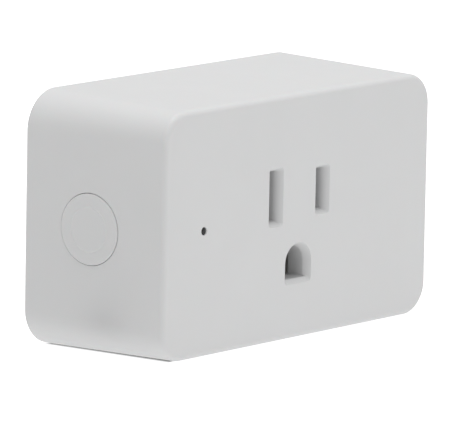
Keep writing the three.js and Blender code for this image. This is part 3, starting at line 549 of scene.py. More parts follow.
def front_shell():
    bm = bmesh.new()
    corner_steps = 20
    left = 2 * (corner_steps + 1) - 1  # the straight segment down the left side
    edge = [(FRONT_Y + FRONT_EDGE * (1 - c), FRONT_EDGE * (1 - s)) for s, c in arc_steps(8)]
    rear_edge = [(-REAR_EDGE * (1 - s), REAR_EDGE * (1 - c)) for s, c in arc_steps(4)]
    stations = edge + rear_edge + [(0, RIM - 0.1), (-0.1, RIM), (LEDGE_Y, RIM), (LEDGE_Y, WALL),
                                   (FACE_INNER_Y, WALL)]
    rings = [housing_ring(bm, y, inset) for y, inset in stations]
    outer_span, inner_span = len(edge) - 1, len(rings) - 2
    skin(bm, rings, skip={(outer_span, left), (inner_span, left)})

    # the left side, inside and out, with the button's hole through it
    soft = 0.12
    stations = ((soft, 0), (0.3 * soft, 0.3 * soft), (0, soft), (0, WALL))
    hole = [side_ring(bm, BUTTON_HOLE + grown, depth) for grown, depth in stations]
    skin(bm, hole)
    after = (left + 1) % len(rings[0])
    for number, ring in ((outer_span, hole[0]), (inner_span, hole[-1])):
        a, b = rings[number], rings[number + 1]
        fill(bm, [a[left], b[left], b[after], a[after]], ring)

    # the front face and the socket's holes
    slots = [slot_outline(x, height) for x, height in SLOT_HEIGHTS.items()]
    holes = [lead_in_rings(bm, outline, **SLOT_LEAD_IN) for outline in slots]
    holes.append(lead_in_rings(bm, ground_outline, **GROUND_LEAD_IN))
    for each in holes:
        skin(bm, each)
    rim = 0.08
    stations = ((LIGHT_HOLE + rim, FRONT_Y), (LIGHT_HOLE, FRONT_Y + rim), (LIGHT_HOLE, FACE_INNER_Y))
    light = [flat_ring(bm, circle(radius, 32, (LIGHT_X, LIGHT_Z)), y) for radius, y in stations]
    skin(bm, light)
    fill(bm, rings[0], light[0], *[each[0] for each in holes])

    # the inner face with the socket boss, the screw posts and the control board's guides
    low, high, middle = span("contact_carrier")
    boss = round_rect((high.x - low.x) / 2, (high.z - low.z) / 2, 0.5, 5, (0, middle.z))
    boss_rings = [flat_ring(bm, boss, y) for y in (FACE_INNER_Y, SOCKET_REAR_Y)]
    skin(bm, boss_rings)
    fill(bm, boss_rings[1], *[each[-1] for each in holes])
    posts = [screw_post(bm, side_x * SCREW_X, side_z * SCREW_Z) for side_x, side_z in CORNERS]
    guides = guide_fork(bm, -GUIDE_Z) + guide_fork(bm, GUIDE_Z)
    fill(bm, rings[-1], light[-1], boss_rings[0], *posts, *guides)
    shell = make("front_shell_moulding", bm, [HOUSING, HOUSING_INSIDE_PAINTED_SHADE], ["front_shell"])
    # faces in the holes and inside take the material with painted shade
    for face in shell.data.polygons:
        face.material_index = 0 if on_outer_skin(face.center / MM) else 1


def on_outer_skin(place):
    """Whether a place on the front shell is on its outside rather than in a hole or inside."""
    skin_depth, corner, corner_reach = 0.13, 7.5, 7.2
    from_side = REAR_HALF_WIDTH + place.y * SLOPE - abs(place.x)
    from_top = REAR_HALF_HEIGHT + place.y * SLOPE - abs(place.z)
    in_corner = math.hypot(max(0, corner - from_side), max(0, corner - from_top)) > corner_reach
    on_side = min(from_side, from_top) < skin_depth or in_corner and place.y < LEDGE_Y
    return place.y - FRONT_Y < skin_depth or on_side


def screw_post(bm, x, z):
    """A post with a blind screw pilot. Gives the ring where it meets the inner face."""
    post, pilot, floor, rear = 2.75, 1.2, -12.4, COVER_INNER_Y - 0.15
    profile = [(post + 0.2, FACE_INNER_Y), (post, FACE_INNER_Y + 0.3), (post, rear - 0.15),
               (post - 0.15, rear), (pilot + 0.2, rear), (pilot, rear - 0.2), (pilot, floor), (0, floor)]
    return lathe(bm, profile, "y", (x, 0, z), 40)[0]


def guide_fork(bm, z):
    """Two ribs that hold the control board's front edge. Gives their rings on the inner face."""
    low, high, _ = span("control_board")
    rib, gap, half_height, rear, soft = 1.1, 0.15, 1.5, -22.5, 0.15
    loops = []
    half = rib / 2
    for middle in (low.x - gap - half, high.x + gap + half):
        outline = round_rect(half, half_height, 0.2, 3, (middle, z))
        tip = round_rect(half - soft, half_height - soft, 0.1, 3, (middle, z))
        rings = [flat_ring(bm, outline, y) for y in (FACE_INNER_Y, rear - soft)]
        rings.append(flat_ring(bm, tip, rear))
        skin(bm, rings)
        bm.faces.new(rings[-1])
        loops.append(rings[0])
    return loops


def rear_cover():
    """The flush cover: prong slots, screw counterbores and the pad that the prongs' plate clamps to."""
    bm = bmesh.new()
    inset, soft = RIM + SEAM, 0.2
    edge = [(-soft * (1 - s), inset + soft * (1 - c)) for s, c in arc_steps(4)]
    rings = [housing_ring(bm, y, i) for y, i in [(COVER_INNER_Y, inset)] + edge]
    skin(bm, rings)
    outer, inner, pad_loops = [], [], []
    openings = [(0.9, width / 2 + 0.15, 0.2, 4, (span(node)[2].x, POLE_Z))
                for node, width in BLADE_WIDTHS.items()]
    pin_half = PIN_RADIUS + 0.25
    openings.append((pin_half, pin_half, 1.4, 12, (0, GROUND_Z)))
    for half_width, half_height, radius, steps, centre in openings:
        hole = []
        for grown, y in ((0.15, 0.0), (0.05, -0.05), (0.0, -0.15), (0.0, PAD_Y)):
            outline = round_rect(half_width + grown, half_height + grown, radius + grown, steps, centre)
            hole.append(flat_ring(bm, outline, y))
        skin(bm, hole)
        outer.append(hole[0])
        pad_loops.append(hole[-1])
    counterbore, seat, through = 2.4, -1.4, 1.3
    profile = [(counterbore + 0.15, 0.0), (counterbore + 0.05, -0.04), (counterbore, -0.12),
               (counterbore, seat), (through, seat), (through, COVER_INNER_Y)]
    for side_x, side_z in CORNERS:
        hole = lathe(bm, profile, "y", (side_x * SCREW_X, 0, side_z * SCREW_Z), 48)
        outer.append(hole[0])
        inner.append(hole[-1])
    pilot, pilot_end = 0.95, -1.0
    for side in (-1, 1):
        place = (side * RETAINER_SCREW_X, 0, RETAINER_SCREW_Z)
        pad_loops.append(lathe(bm, [(pilot, PAD_Y), (pilot, pilot_end), (0, pilot_end)], "y", place, 24)[0])
    low, high, middle = span("blade_retainer")
    pad = round_rect(high.x, (high.z - low.z) / 2, 0.4, 4, (0, middle.z))
    pad_rings = [flat_ring(bm, pad, y) for y in (COVER_INNER_Y, PAD_Y)]
    skin(bm, pad_rings)
    fill(bm, rings[-1], *outer)
    fill(bm, rings[0], pad_rings[0], *inner)
    fill(bm, pad_rings[1], *pad_loops)
    make("rear_cover_moulding", bm, HOUSING, ["rear_cover"])


def button_cap():
    """The round button: soft rim, barely raised centre pad, retaining flange and a stem in a hollow."""
    bm = bmesh.new()
    face = -(REAR_HALF_WIDTH + BUTTON_Y * SLOPE) - BUTTON_PROUD
    flange, flange_inner = BUTTON_FLANGE_X, BUTTON_FLANGE_X + 0.8
    hollow, roof, stem, soft = 5.0, -35.4, 2.0, 0.1
    shaped = rounded([(0, face - PAD_RISE), (PAD_RADIUS - 0.12, face - PAD_RISE), (PAD_RADIUS + 0.04, face),
                      (BUTTON_RADIUS, face), (BUTTON_RADIUS, flange - 0.6)],
                     [0, 0.2, 0.2, 0.25, 0], 6)
    inside = [(BUTTON_RADIUS, flange - 0.05), (BUTTON_FLANGE, flange), (BUTTON_FLANGE, flange_inner),
              (hollow, flange_inner), (hollow, roof), (stem, roof), (stem, STEM_END_X - soft),
              (stem - soft, STEM_END_X), (0, STEM_END_X)]
    lathe(bm, shaped + inside, "x", (0, BUTTON_Y, 0), 96)
    for vertex in bm.verts:
        if vertex.co.x < flange - 0.1:
            vertex.co.x -= (vertex.co.y - BUTTON_Y) * SLOPE
    make("button_moulding", bm, BUTTON, ["button_cap"], "button")


# ---- prongs and screws


def blade(node):
    """A flat prong: a rounded, thinned nose, eased edges, a round hole, shoulders and a solder tail."""
    bm = bmesh.new()
    low, high, middle = span(node)
    x, half_thickness = middle.x, (high.x - low.x) / 2
    half, ease, tail = BLADE_WIDTHS[node] / 2, 0.22, -3.0
    shoulder = half + 1.3
    front, rear = SHOULDER_FRONT_Y, SHOULDER_REAR_Y
    tip, tail_end = high.y, low.y
    corners = [(tail_end, tail), (front, tail), (front, -shoulder), (rear, -shoulder), (rear, -half),
               (tip, -half), (tip, half), (rear, half), (rear, shoulder), (front, shoulder),
               (front, 0.0), (tail_end, 0.0)]
    radii = [0.4, 0, 0.4, 0.4, 0, 1.9, 1.9, 0, 0.4, 0.4, 0, 0.4]
    closed = [corners[-1]] + corners + [corners[0]]
    outline = rounded(closed, [0] + radii + [0], 6)[1:-1]
    sections = [(-1, ease), (-1 + ease * 0.35 / half_thickness, ease * 0.35),
                (-1 + ease / half_thickness, 0.0)]
    sections += [(-share, inset) for share, inset in reversed(sections)]
    rings = []
    for share, inset in sections:
        ring = [(x + share * half_thickness, y, POLE_Z + z) for y, z in drawn_in(outline, inset)]
        rings.append(add_ring(bm, ring))
    skin(bm, rings)
    soft = 0.15
    hole = [(BLADE_HOLE_RADIUS + soft, x - half_thickness), (BLADE_HOLE_RADIUS, x - half_thickness + soft),
            (BLADE_HOLE_RADIUS, x + half_thickness - soft), (BLADE_HOLE_RADIUS + soft, x + half_thickness)]
    hole = lathe(bm, hole, "x", (0, BLADE_HOLE_Y, POLE_Z), 40)
    fill(bm, rings[0], hole[0])
    fill(bm, rings[-1], hole[-1])
    taper_from, cuts, cut_pitch, thinning = tip - 2.2, 4, 0.55, 0.45
    for step in range(cuts):
        geometry = bm.verts[:] + bm.edges[:] + bm.faces[:]
        cut = (0, taper_from + step * cut_pitch, 0)
        bmesh.ops.bisect_plane(bm, geom=geometry, plane_co=cut, plane_no=(0, 1, 0))
    for vertex in bm.verts:
        along = max(0.0, (vertex.co.y - taper_from) / (tip - taper_from))
        vertex.co.x = x + (vertex.co.x - x) * (1 - thinning * along ** 2)
    make(node + "_metal", bm, NICKEL, [node])


def drawn_in(outline, inset):
    """An outline moved inwards, to its left when it runs anticlockwise."""
    if not inset:
        return outline
    result = []
    count = len(outline)
    for i in range(count):
        before, here, after = (Vector(outline[(i + k) % count]) for k in (-1, 0, 1))
        first, second = (here - before).normalized(), (after - here).normalized()
        left = Vector((-first.y - second.y, first.x + second.x)).normalized()
        reach = inset / max(0.5, left.dot(Vector((-second.y, second.x))))
        result.append(tuple(here + left * reach))
    return result


def ground_pin():
    bm = bmesh.new()
    low, high, _ = span("ground_pin")
    tail, collar, soft = PIN_TAIL_RADIUS, PIN_COLLAR_RADIUS, 0.1
    front, rear = SHOULDER_FRONT_Y, SHOULDER_REAR_Y
    nose_radius, nose_length = 1.9, 2.3
    nose = [(PIN_RADIUS - nose_radius * (1 - c), high.y - nose_length * (1 - s)) for s, c in arc_steps(10)]
    profile = [(0, low.y), (tail - 0.15, low.y), (tail, low.y + 0.15), (tail, front),
               (collar - soft, front), (collar, front + soft), (collar, rear - soft), (collar - soft, rear),
               (PIN_RADIUS, rear), (PIN_RADIUS, -0.2), *nose, (0, high.y)]
    lathe(bm, profile, "y", (0, 0, GROUND_Z), 64)
    make("ground_pin_metal", bm, NICKEL, ["ground_pin"])


def cross(reach, half_arm):
    """A cross-shaped outline, anticlockwise."""
    quarter = [(reach, -half_arm), (reach, half_arm), (half_arm, half_arm)]
    points = []
    for cosine, sine in ((1, 0), (0, 1), (-1, 0), (0, -1)):
        points += [(cosine * a - sine * b, sine * a + cosine * b) for a, b in quarter]
    return points


def sink_cross(bm, rim, centre, y, into, reach, half_arm, depth):
    """Closes a flat round top at y with a tapered cross-shaped recess. into is +1 or -1, along Y."""
    rings = []
    for share, sink in ((1.0, 0.0), (0.93, 0.12), (0.6, 1.0)):
        outline = [(centre[0] + px * share, centre[1] + pz * share) for px, pz in cross(reach, half_arm)]
        rings.append(flat_ring(bm, outline, y + into * depth * sink))
    skin(bm, rings)
    bm.faces.new(rings[-1])
    fill(bm, rim, rings[0])


def threaded(bm, core, ridge, pitch, start, end, centre, steps):
    """The rings of a helical thread along Y that fades out at both ends."""
    rows_per_turn = 6
    count = round(abs(end - start) / pitch * rows_per_turn)
    rings = []
    for k in range(count + 1):
        y = start + (end - start) * k / count
        fade = min(1.0, abs(y - start) / pitch, abs(end - y) / pitch)
        ring = []
        for i in range(steps):
            phase = (abs(y - start) / pitch - i / steps) % 1
            radius = core + ridge * fade * max(0.0, 1 - 1.7 * abs(2 * phase - 1))
            angle = TAU * i / steps
            ring.append((centre[0] + radius * math.cos(angle), y, centre[1] + radius * math.sin(angle)))
        rings.append(add_ring(bm, ring))
    return rings


def screw(node, facing):
    """A cross-head screw whose head faces +Y or -Y."""
    bm = bmesh.new()
    low, high, middle = span(node)
    centre = (middle.x, middle.z)
    radius = (high.x - low.x) / 2
    top, point = (high.y, low.y) if facing > 0 else (low.y, high.y)
    head, shank, neck, soft = radius * 1.2 / 2.1, radius * 0.5, radius * 0.41, 0.12
    down, steps, pitch = -facing, 28, 0.9
    crown = [(radius * 0.74, 0), (radius * 0.9, head * 0.07), (radius, head * 0.3), (radius, head - soft),
             (radius - soft, head), (neck, head), (neck, head + 0.2)]
    rings = [flat_ring(bm, circle(wide, steps, centre), top + down * sink) for wide, sink in crown]
    start, end = top + down * (head + 0.4), point - down * shank
    thread = threaded(bm, shank * 0.8, shank * 0.2, pitch, start, end, centre, steps)
    tip = flat_ring(bm, circle(shank * 0.3, steps, centre), point)
    skin(bm, rings + thread + [tip])
    bm.faces.new(tip)
    sink_cross(bm, rings[0], centre, top, down, radius * 0.56, radius * 0.12, 0.7)
    make(node + "_metal", bm, STEEL, [node])


# ---- status light


def light_pipe():
    bm = bmesh.new()
    low, high, _ = span("light_pipe")
    tip, rod, stem = low.y, LIGHT_HOLE - 0.03, 0.9
    collar, collar_front, collar_rear, soft = 1.4, FACE_INNER_Y + 0.1, FACE_INNER_Y + 0.9, 0.1
    profile = [(0, tip), (rod * 0.6, tip + 0.03), (rod, tip + 0.15), (rod, collar_front),
               (collar - soft, collar_front), (collar, collar_front + soft), (collar, collar_rear),
               (stem, collar_rear), (stem, high.y), (0, high.y)]
    lathe(bm, profile, "y", (LIGHT_X, 0, LIGHT_Z), 40)
    # the pipe's dark tip paints the shade in the front face's pinhole
    make("light_pipe_painted_shade", bm, PINHOLE_PAINTED_SHADE, ["light_pipe"])


# ---- pieces inside

BOARD_BACK = span("main_board")[1].y
EASED_EDGE = 0.06
LEGS = []


def carry(node, material):
    """Shows a CAD piece with a material of its own and eased edges. Its mesh stays as it is."""
    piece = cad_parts[node]
    piece.material_slots[0].material = material
    weld = piece.modifiers.new("joined corners", "WELD")
    weld.merge_threshold = 0.002 * MM
    eased = piece.modifiers.new("eased edges", "BEVEL")
    eased.width = EASED_EDGE * MM
    eased.segments = 2
    eased.limit_method = "ANGLE"
    eased.angle_limit = math.radians(40)
    weigh(piece)


def box_with(bm, low, high, edge, taper=0.0):
    """A block with eased edges. taper draws in its rear end, or its front end when it is negative."""
    result = bmesh.ops.create_cube(bm, size=1.0)
    centre = [(a + b) / 2 for a, b in zip(low, high)]
    for vertex in result["verts"]:
        at_end = (vertex.co.y > 0) == (taper > 0)
        vertex.co = Vector([a + (b - a) * (c + 0.5) for a, b, c in zip(low, high, vertex.co)])
        if taper and at_end:
            vertex.co.x -= math.copysign(taper, vertex.co.x - centre[0])
            vertex.co.z -= math.copysign(taper, vertex.co.z - centre[2])
    edges = list({e for v in result["verts"] for e in v.link_edges})
    bmesh.ops.bevel(bm, geom=edges, offset=edge, segments=3, profile=0.5, affect="EDGES")


def wire(bm, points, radius, material_index):
    """A round wire through points, mitred at its bends and closed at both ends."""
    places, steps = [Vector(p) for p in points], 12
    before = set(bm.faces)
    rings = []
    side = None
    for i, here in enumerate(places):
        into = (here - places[i - 1]).normalized() if i else (places[1] - here).normalized()
        out = (places[i + 1] - here).normalized() if i + 1 < len(places) else into
        along = (into + out).normalized()
        if side is None:
            side = along.orthogonal().normalized()
        side = (side - along * side.dot(along)).normalized()
        other = along.cross(side)
        reach = radius / max(0.6, along.dot(into))
        rings.append(add_ring(bm, [here + (side * u + other * v) * reach for u, v in circle(1, steps)]))
    skin(bm, rings)
    bm.faces.new(rings[0])
    bm.faces.new(rings[-1])
    for face in set(bm.faces) - before:
        face.material_index = material_index


def bend(corner, start, end):
    """Points of a rounded bend at a corner between two other points."""
    radius, steps = 0.6, 4
    corner, start, end = Vector(corner), Vector(start), Vector(end)
    a, b = (corner + (other - corner).normalized() * radius for other in (start, end))
    shares = [i / steps for i in range(steps + 1)]
    return [a * (1 - t) ** 2 + corner * (2 * t * (1 - t)) + b * t ** 2 for t in shares]


def leg(bm, x, start, z, radius, material_index=1, proud=0.6):
    """A straight leg from inside its part through the main board, to be soldered on the rear face."""
    wire(bm, [(x, start, z), (x, BOARD_BACK + proud, z)], radius, material_index)
    LEGS.append((x, z))


def capacitor(node):
    """A sleeved can standing on the board: bung, rolled groove, crimped sleeve and a scored vent on top."""
    bm = bmesh.new()
    low, high, middle = span(node)
    radius, foot, top = (high.x - low.x) / 2, high.y, low.y
    lip, lid = radius - 0.75, top + 0.12
    groove, groove_half, groove_depth = foot - 1.9, 0.55, 0.3
    points = [(radius * 0.8, foot), (radius, foot), (radius, groove + groove_half),
              (radius - groove_depth, groove), (radius, groove - groove_half), (radius, top), (lip, top),
              (lip, top + 0.08)]
    profile = rounded(points, [0, 0.35, 0.5, 0.5, 0.5, 0.45, 0, 0], 5)
    rings = lathe(bm, [(0, foot)] + profile + [(lip, lid)], "y", (middle.x, 0, middle.z), 56)
    sleeved = set(bm.faces)
    score_depth, score_half = 0.12, 0.16
    sink_cross(bm, rings[-1], (middle.x, middle.z), lid, 1, lip * 0.72, score_half, score_depth)
    for face in set(bm.faces) - sleeved:
        face.material_index = 1
    for side in (-1, 1):
        leg(bm, middle.x + side * radius * 0.45, foot - 0.3, middle.z, 0.3, 2)
    make(node + "_can", bm, [SLEEVE, BARE_CAN, TINNED], [node])


def drum_core(node):
    bm = bmesh.new()
    low, high, middle = span(node)
    winding_low, winding_high, _ = span(node.replace("_core", "_winding"))
    radius = (high.x - low.x) / 2
    waist, inner_low, inner_high = radius * 0.5, winding_low.y - 0.1, winding_high.y + 0.1
    points = [(0, low.y), (radius, low.y), (radius, inner_low), (waist, inner_low), (waist, inner_high),
              (radius, inner_high), (radius, high.y), (0, high.y)]
    profile = rounded(points, [0, 0.35, 0.2, 0.2, 0.2, 0.2, 0.35, 0], 4)
    lathe(bm, profile, "y", (middle.x, 0, middle.z), 48)
    make(node + "_ferrite", bm, FERRITE, [node])


def drum_winding(node):
    """The winding's outer layer, turn by turn on a helix, with flat sides against the core's flanges."""
    bm = bmesh.new()
    pitch, steps = 0.36, 40
    low, high, middle = span(node)
    radius = (high.x - low.x) / 2
    centre, ridge = (middle.x, middle.z), pitch * 0.4
    turns = threaded(bm, radius - ridge, ridge, pitch, low.y, high.y, centre, steps)
    inner = [flat_ring(bm, circle(radius * 0.56, steps, centre), y) for y in (high.y, low.y)]
    skin(bm, turns + inner + [turns[0]])
    for side in (-1, 1):
        leg(bm, middle.x + side * radius * 0.8, high.y - 0.4, middle.z + radius * 0.45, 0.2, 0, 0.5)
    make(node + "_turns", bm, COPPER, [node], sharp=60.0)


def relay():
    """The relay: a moulded case over a base tray, with a vent nub on top and a rib across each side."""
    bm = bmesh.new()
    low, high, middle = span("relay")
    top, tray, inset = low.y + 0.6, high.y - 1.6, 0.2
    box_with(bm, (low.x, tray, low.z), high, 0.3)
    case_low, case_high = (low.x + inset, top, low.z + inset), (high.x - inset, tray + 0.2, high.z - inset)
    box_with(bm, case_low, case_high, 0.8, -0.25)
    rib_inset, rib_half = 0.28, 0.4
    for share in (0.25, 0.75):
        z = low.z + (high.z - low.z) * share
        rib_low = (low.x + rib_inset, top + 2.0, z - rib_half)
        box_with(bm, rib_low, (high.x - rib_inset, tray - 0.3, z + rib_half), 0.1)
    nub = [(0, low.y + 0.02), (0.65, low.y + 0.02), (0.85, low.y + 0.2), (0.9, top + 0.1), (0, top + 0.1)]
    lathe(bm, nub, "y", (middle.x - 4.6, 0, middle.z - 7.0), 28)
    for x, z in ((-5.5, -7.5), (5.5, -7.5), (-5.5, 3.0), (5.5, 3.0), (0, 8.0)):
        leg(bm, middle.x + x, high.y - 0.3, middle.z + z, 0.4)
    make("relay_case", bm, [RELAY_CASE, TINNED], ["relay"])


def film_capacitor():
    """The potted box across the supply, on moulded stand-offs and two wires."""
    bm = bmesh.new()
    low, high, middle = span("film_capacitor")
    box_with(bm, low, (high.x, high.y - 0.5, high.z), 0.45)
    inset, half = 0.9, 0.6
    for side_x, side_z in CORNERS:
        x = high.x - inset if side_x > 0 else low.x + inset
        z = high.z - inset if side_z > 0 else low.z + inset
        box_with(bm, (x - half, high.y - 0.8, z - half), (x + half, high.y, z + half), 0.12)
    for side in (-1, 1):
        leg(bm, middle.x, high.y - 0.9, middle.z + side * 5.0, 0.4)
    make("film_capacitor_box", bm, [FILM, TINNED], ["film_capacitor"])


def varistor():
    """A lacquered disc that runs down a little onto its two wires."""
    bm = bmesh.new()
    low, high, middle = span("varistor")
    radius, half = (high.z - low.z) / 2, (high.x - low.x) / 2
    disc_y = low.y + radius
    flat, rim = radius * 0.72, half * 0.45
    points = [(0, -half), (flat, -half), (radius, -rim), (radius, rim), (flat, half), (0, half)]
    profile = rounded(points, [0, 2.2, 0.9, 0.9, 2.2, 0], 6)
    lathe(bm, profile, "x", (middle.x, disc_y, middle.z), 56)
    drip = [(0, 2.4), (0.85, 2.6), (0.8, 3.9), (0.5, 4.5), (0, 4.7)]
    for side in (-1, 1):
        z = middle.z + side * 2.5
        lathe(bm, drip, "y", (middle.x, disc_y, z), 24)
        leg(bm, middle.x, disc_y + 4.0, z, 0.35)
    make("varistor_disc", bm, [LACQUER, TINNED], ["varistor"])


def input_fuse():
    """The fusible resistor: a coated body with swollen ends, lying on two bent wires."""
    bm = bmesh.new()
    low, high, middle = span("input_fuse")
    radius, half = (high.x - low.x) / 2, 4.4
    y = low.y + radius
    swelling, shoulder, waist = 1.9, 2.5, radius * 0.88
    points = [(0, -half), (radius, -half), (radius, -half + swelling), (waist, -half + shoulder),
              (waist, half - shoulder), (radius, half - swelling), (radius, half), (0, half)]
    profile = rounded(points, [0, 0.8, 0.6, 0.6, 0.6, 0.6, 0.8, 0], 5)
    lathe(bm, profile, "z", (middle.x, y, middle.z), 40)
    for side in (-1, 1):
        near, far = middle.z + side * (half - 0.4), middle.z + side * (half + 1.2)
        start, corner, end = (middle.x, y, near), (middle.x, y, far), (middle.x, BOARD_BACK + 0.6, far)
        wire(bm, [start, *bend(corner, start, end), end], 0.33, 1)
        LEGS.append((middle.x, far))
    make("input_fuse_body", bm, [FUSE_COAT, TINNED], ["input_fuse"])


def chip(node, legs, pitch, leg_width, body_width):
    """A moulded chip on the board's rear face: drafted body, first-pin dimple and gull-wing legs."""
    bm = bmesh.new()
    low, high, middle = span(node)
    half, face, top = body_width / 2, low.y, high.y
    left, right, under, edge = middle.x - half, middle.x + half, face + 0.1, 0.06
    waist = under + (top - face) * 0.42
    box_with(bm, (left, waist, low.z), (right, top, high.z), edge, 0.12)
    box_with(bm, (left, under, low.z), (right, waist + 0.03, high.z), edge, -0.1)
    dimple = [(0, 0.002), (0.22, 0.002), (0.3, 0.012), (0.34, -0.03), (0, -0.03)]
    lathe(bm, dimple, "y", (left + 0.75, top, low.z + 0.75), 24)
    thick, foot, reach = 0.2, face + 0.02, (high.x - low.x) / 2
    outline = [(half - 0.15, waist), (half + 0.35, waist), (reach - 0.55, foot), (reach, foot)]
    upper = [(x, y + thick) for x, y in outline]
    upper[2] = (upper[2][0] + 0.1, upper[2][1])
    loop = outline + upper[::-1]
    for side in (-1, 1):
        for i in range(legs):
            z = middle.z + (i - (legs - 1) / 2) * pitch
            before = set(bm.faces)
            rings = [add_ring(bm, [(middle.x + side * x, y, z + end) for x, y in loop])
                     for end in (-leg_width / 2, leg_width / 2)]
            skin(bm, rings)
            fill(bm, rings[0])
            fill(bm, rings[1])
            for leg_face in set(bm.faces) - before:
                leg_face.material_index = 1
    make(node + "_package", bm, [DARK_PLASTIC, TINNED], [node])


def solder_joints():
    """A cone of solder around each leg on the board's rear face."""
    bm = bmesh.new()
    cone = [(0, 0.005), (0.95, 0.005), (0.8, 0.12), (0.5, 0.35), (0.38, 0.62), (0.2, 0.72), (0, 0.74)]
    for x, z in LEGS:
        lathe(bm, cone, "y", (x, BOARD_BACK, z), 24)
    make("solder_joints", bm, SOLDER)


front_shell()
rear_cover()
button_cap()
for prong in BLADE_WIDTHS:
    blade(prong)
ground_pin()
for number in range(1, 5):
    screw(f"rear_screw_{number}", 1)
for number in (1, 2):
    screw(f"retainer_screw_{number}", -1)
light_pipe()
for can in ("bulk_capacitor_1", "bulk_capacitor_2", "output_capacitor"):
    capacitor(can)
for inductor in ("converter_inductor", "filter_inductor"):
    drum_core(inductor + "_core")
    drum_winding(inductor + "_winding")
relay()
film_capacitor()
varistor()
input_fuse()
for package, *shape in (("bridge_rectifier", 2, 2.5, 0.7, 4.0), ("metering_chip", 4, 1.27, 0.42, 3.9),
                        ("converter_chip", 4, 1.27, 0.42, 3.9), ("regulator_chip", 2, 4.6, 0.8, 3.5),
                        ("relay_driver", 2, 1.9, 0.4, 1.5), ("flyback_diode", 1, 1.0, 1.3, 2.6)):
    chip(package, *shape)
solder_joints()
CARRIED = {
    INSULATOR: ("contact_carrier", "blade_retainer"),
    BOARD: ("main_board",),
    UPRIGHT_BOARD: ("control_board",),
    MODULE_BOARD: ("wifi_module",),
    STEEL: ("wifi_shield", "switch_cover", "switch_dome"),
    TINNED: ("neutral_contact", "line_contact", "ground_contact"),
    DARK_PLASTIC: ("board_header", "switch_base", "switch_plunger"),
    CLEAR: ("status_led",),
    COPPER: ("current_shunt",),
}
for material, nodes in CARRIED.items():
    for node in nodes:
        carry(node, material)

# ---- camera, floor and light


def place_camera():
    """The photograph's view: from the left and a little above, through a long lens."""
    yaw, pitch, roll = (math.radians(a) for a in (50.476, 9.693, 1.081))
    aside, above, distance = -0.011986, 0.000508, 1.150
    focal_length = 519.7
    aim = Matrix.Rotation(-yaw, 4, "Z") @ Matrix.Rotation(TAU / 4 - pitch, 4, "X")
    place = Matrix.Translation((0, FRONT_Y * MM, 0)) @ aim @ Matrix.Translation((aside, above, distance))
    data = bpy.data.cameras.new("camera")
    data.lens = focal_length
    data.sensor_width = 36
    data.clip_start = 0.05
    data.clip_end = 20
    camera = show("camera", data)
    camera.matrix_world = place @ Matrix.Rotation(roll, 4, "Z")
    scene.camera = camera


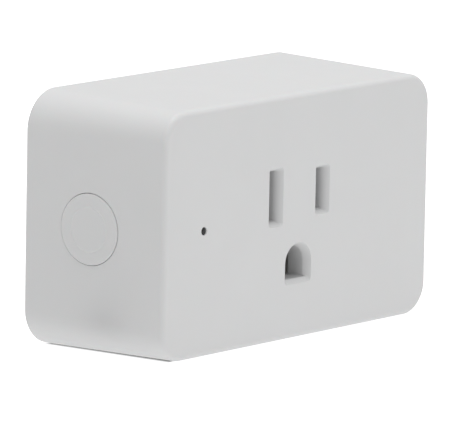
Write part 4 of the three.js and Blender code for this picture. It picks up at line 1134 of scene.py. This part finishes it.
def place_floor():
    """A pale floor under the drafted underside, which the plug rests on."""
    size, gap = 3.0, 0.00002
    mesh = bpy.data.meshes.new("floor")
    corners = [(-size, -size, 0), (size, -size, 0), (size, size, 0), (-size, size, 0)]
    mesh.from_pydata(corners, [], [(0, 1, 2, 3)])
    floor = show("floor", mesh)
    lowered = Matrix.Translation((0, 0, -REAR_HALF_HEIGHT * MM - gap))
    floor.matrix_world = lowered @ Matrix.Rotation(-DRAFT, 4, "X")
    n = Nodes("white table")
    seen = n.add("ShaderNodeLightPath").outputs["Is Camera Ray"]
    dull_spot = {0: n.place, 1: (-0.092, -0.012, 0)}
    away = n.add("ShaderNodeVectorMath", dull_spot, operation="DISTANCE").outputs["Value"]
    glow = n.range(away, 0.25, 0.60, 0.010, 0.055)
    # to the camera the floor is white, with a painted contact shadow: black where the plug covers it
    across, along, _ = n.add("ShaderNodeSeparateXYZ", {"Vector": n.place}).outputs
    spread, white = 0.03, 0.95
    outward = n.maths("ADD", n.maths("ABSOLUTE", across), n.maths("MULTIPLY", along, spread))
    edge = REAR_HALF_WIDTH - REAR_CORNER
    beside = n.range(outward, 0.0, 1.0, (edge + 0.9) * MM, (edge + 2.3) * MM)
    before = n.range(n.maths("MULTIPLY", along, -1.0), 0.0, 1.0, (DEPTH - 2.0) * MM, (DEPTH - 1.1) * MM)
    behind = n.range(along, 0.0, 1.0, -1.0 * MM, 0.0)
    # painted contact shadow mask: 0 under the plug, 1 on the open floor
    clear_of_painted_shadow = n.maths("MAXIMUM", n.maths("MAXIMUM", beside, before), behind)
    shown = n.maths("MULTIPLY", clear_of_painted_shadow, white)
    strength = n.add("ShaderNodeMix", {"Factor": seen, "A": glow, "B": shown}).outputs["Result"]
    n.set(Base_Color=(0.35, 0.35, 0.35, 1), Roughness=0.9, Specular_IOR_Level=0.1)
    n.set(Emission_Color=(1, 1, 1, 1), Emission_Strength=strength)
    mesh.materials.append(n.material)


def place_card():
    """A small black card beside the plug, unseen by the camera, that softly shades its left side's foot."""
    bm = bmesh.new()
    radius, x, y_z = 1.7, -41.6, (-18.0, -16.2)
    bm.faces.new(add_ring(bm, [(x, y, z) for y, z in circle(radius, 24, y_z)]))
    mesh = mesh_of("card", bm)
    n = Nodes("black card")
    n.set(Base_Color=n.ramp(n.noise(1.0), [(0.0, (0.004, 0.004, 0.004)), (1.0, (0.008, 0.008, 0.008))]))
    n.set(Roughness=1.0, Specular_IOR_Level=0.0)
    mesh.materials.append(n.material)
    card = show("card", mesh)
    card.visible_camera = False


def place_world():
    """An even white tent: pure white to the camera, and softer as light."""
    world = bpy.data.worlds.new("tent")
    world.use_nodes = True
    tree = world.node_tree
    tree.nodes.clear()
    kinds = ("ShaderNodeLightPath", "ShaderNodeMixShader", "ShaderNodeOutputWorld")
    path, mix, out = (tree.nodes.new(kind) for kind in kinds)
    as_light, to_camera = 0.47, 1.1
    for socket, strength in ((1, as_light), (2, to_camera)):
        background = tree.nodes.new("ShaderNodeBackground")
        background.inputs["Color"].default_value = (1, 1, 1, 1)
        background.inputs["Strength"].default_value = strength
        tree.links.new(background.outputs[0], mix.inputs[socket])
    tree.links.new(path.outputs["Is Camera Ray"], mix.inputs[0])
    tree.links.new(mix.outputs[0], out.inputs["Surface"])
    scene.world = world


def place_light(name, place, size, power):
    """A soft square light aimed at the plug."""
    data = bpy.data.lights.new(name, "AREA")
    data.shape = "SQUARE"
    data.size = size
    data.energy = power
    light = show(name, data)
    light.location = place
    light.rotation_euler = Vector(place).to_track_quat("Z", "Y").to_euler()


place_camera()
place_floor()
place_card()
place_world()
place_light("overhead", (0.0, 0.0, 1.2), 0.8, 7.4)
place_light("key", (0.5, -1.1, 0.8), 0.9, 1.3)

scene.view_settings.view_transform = "Standard"
scene.view_settings.look = "None"
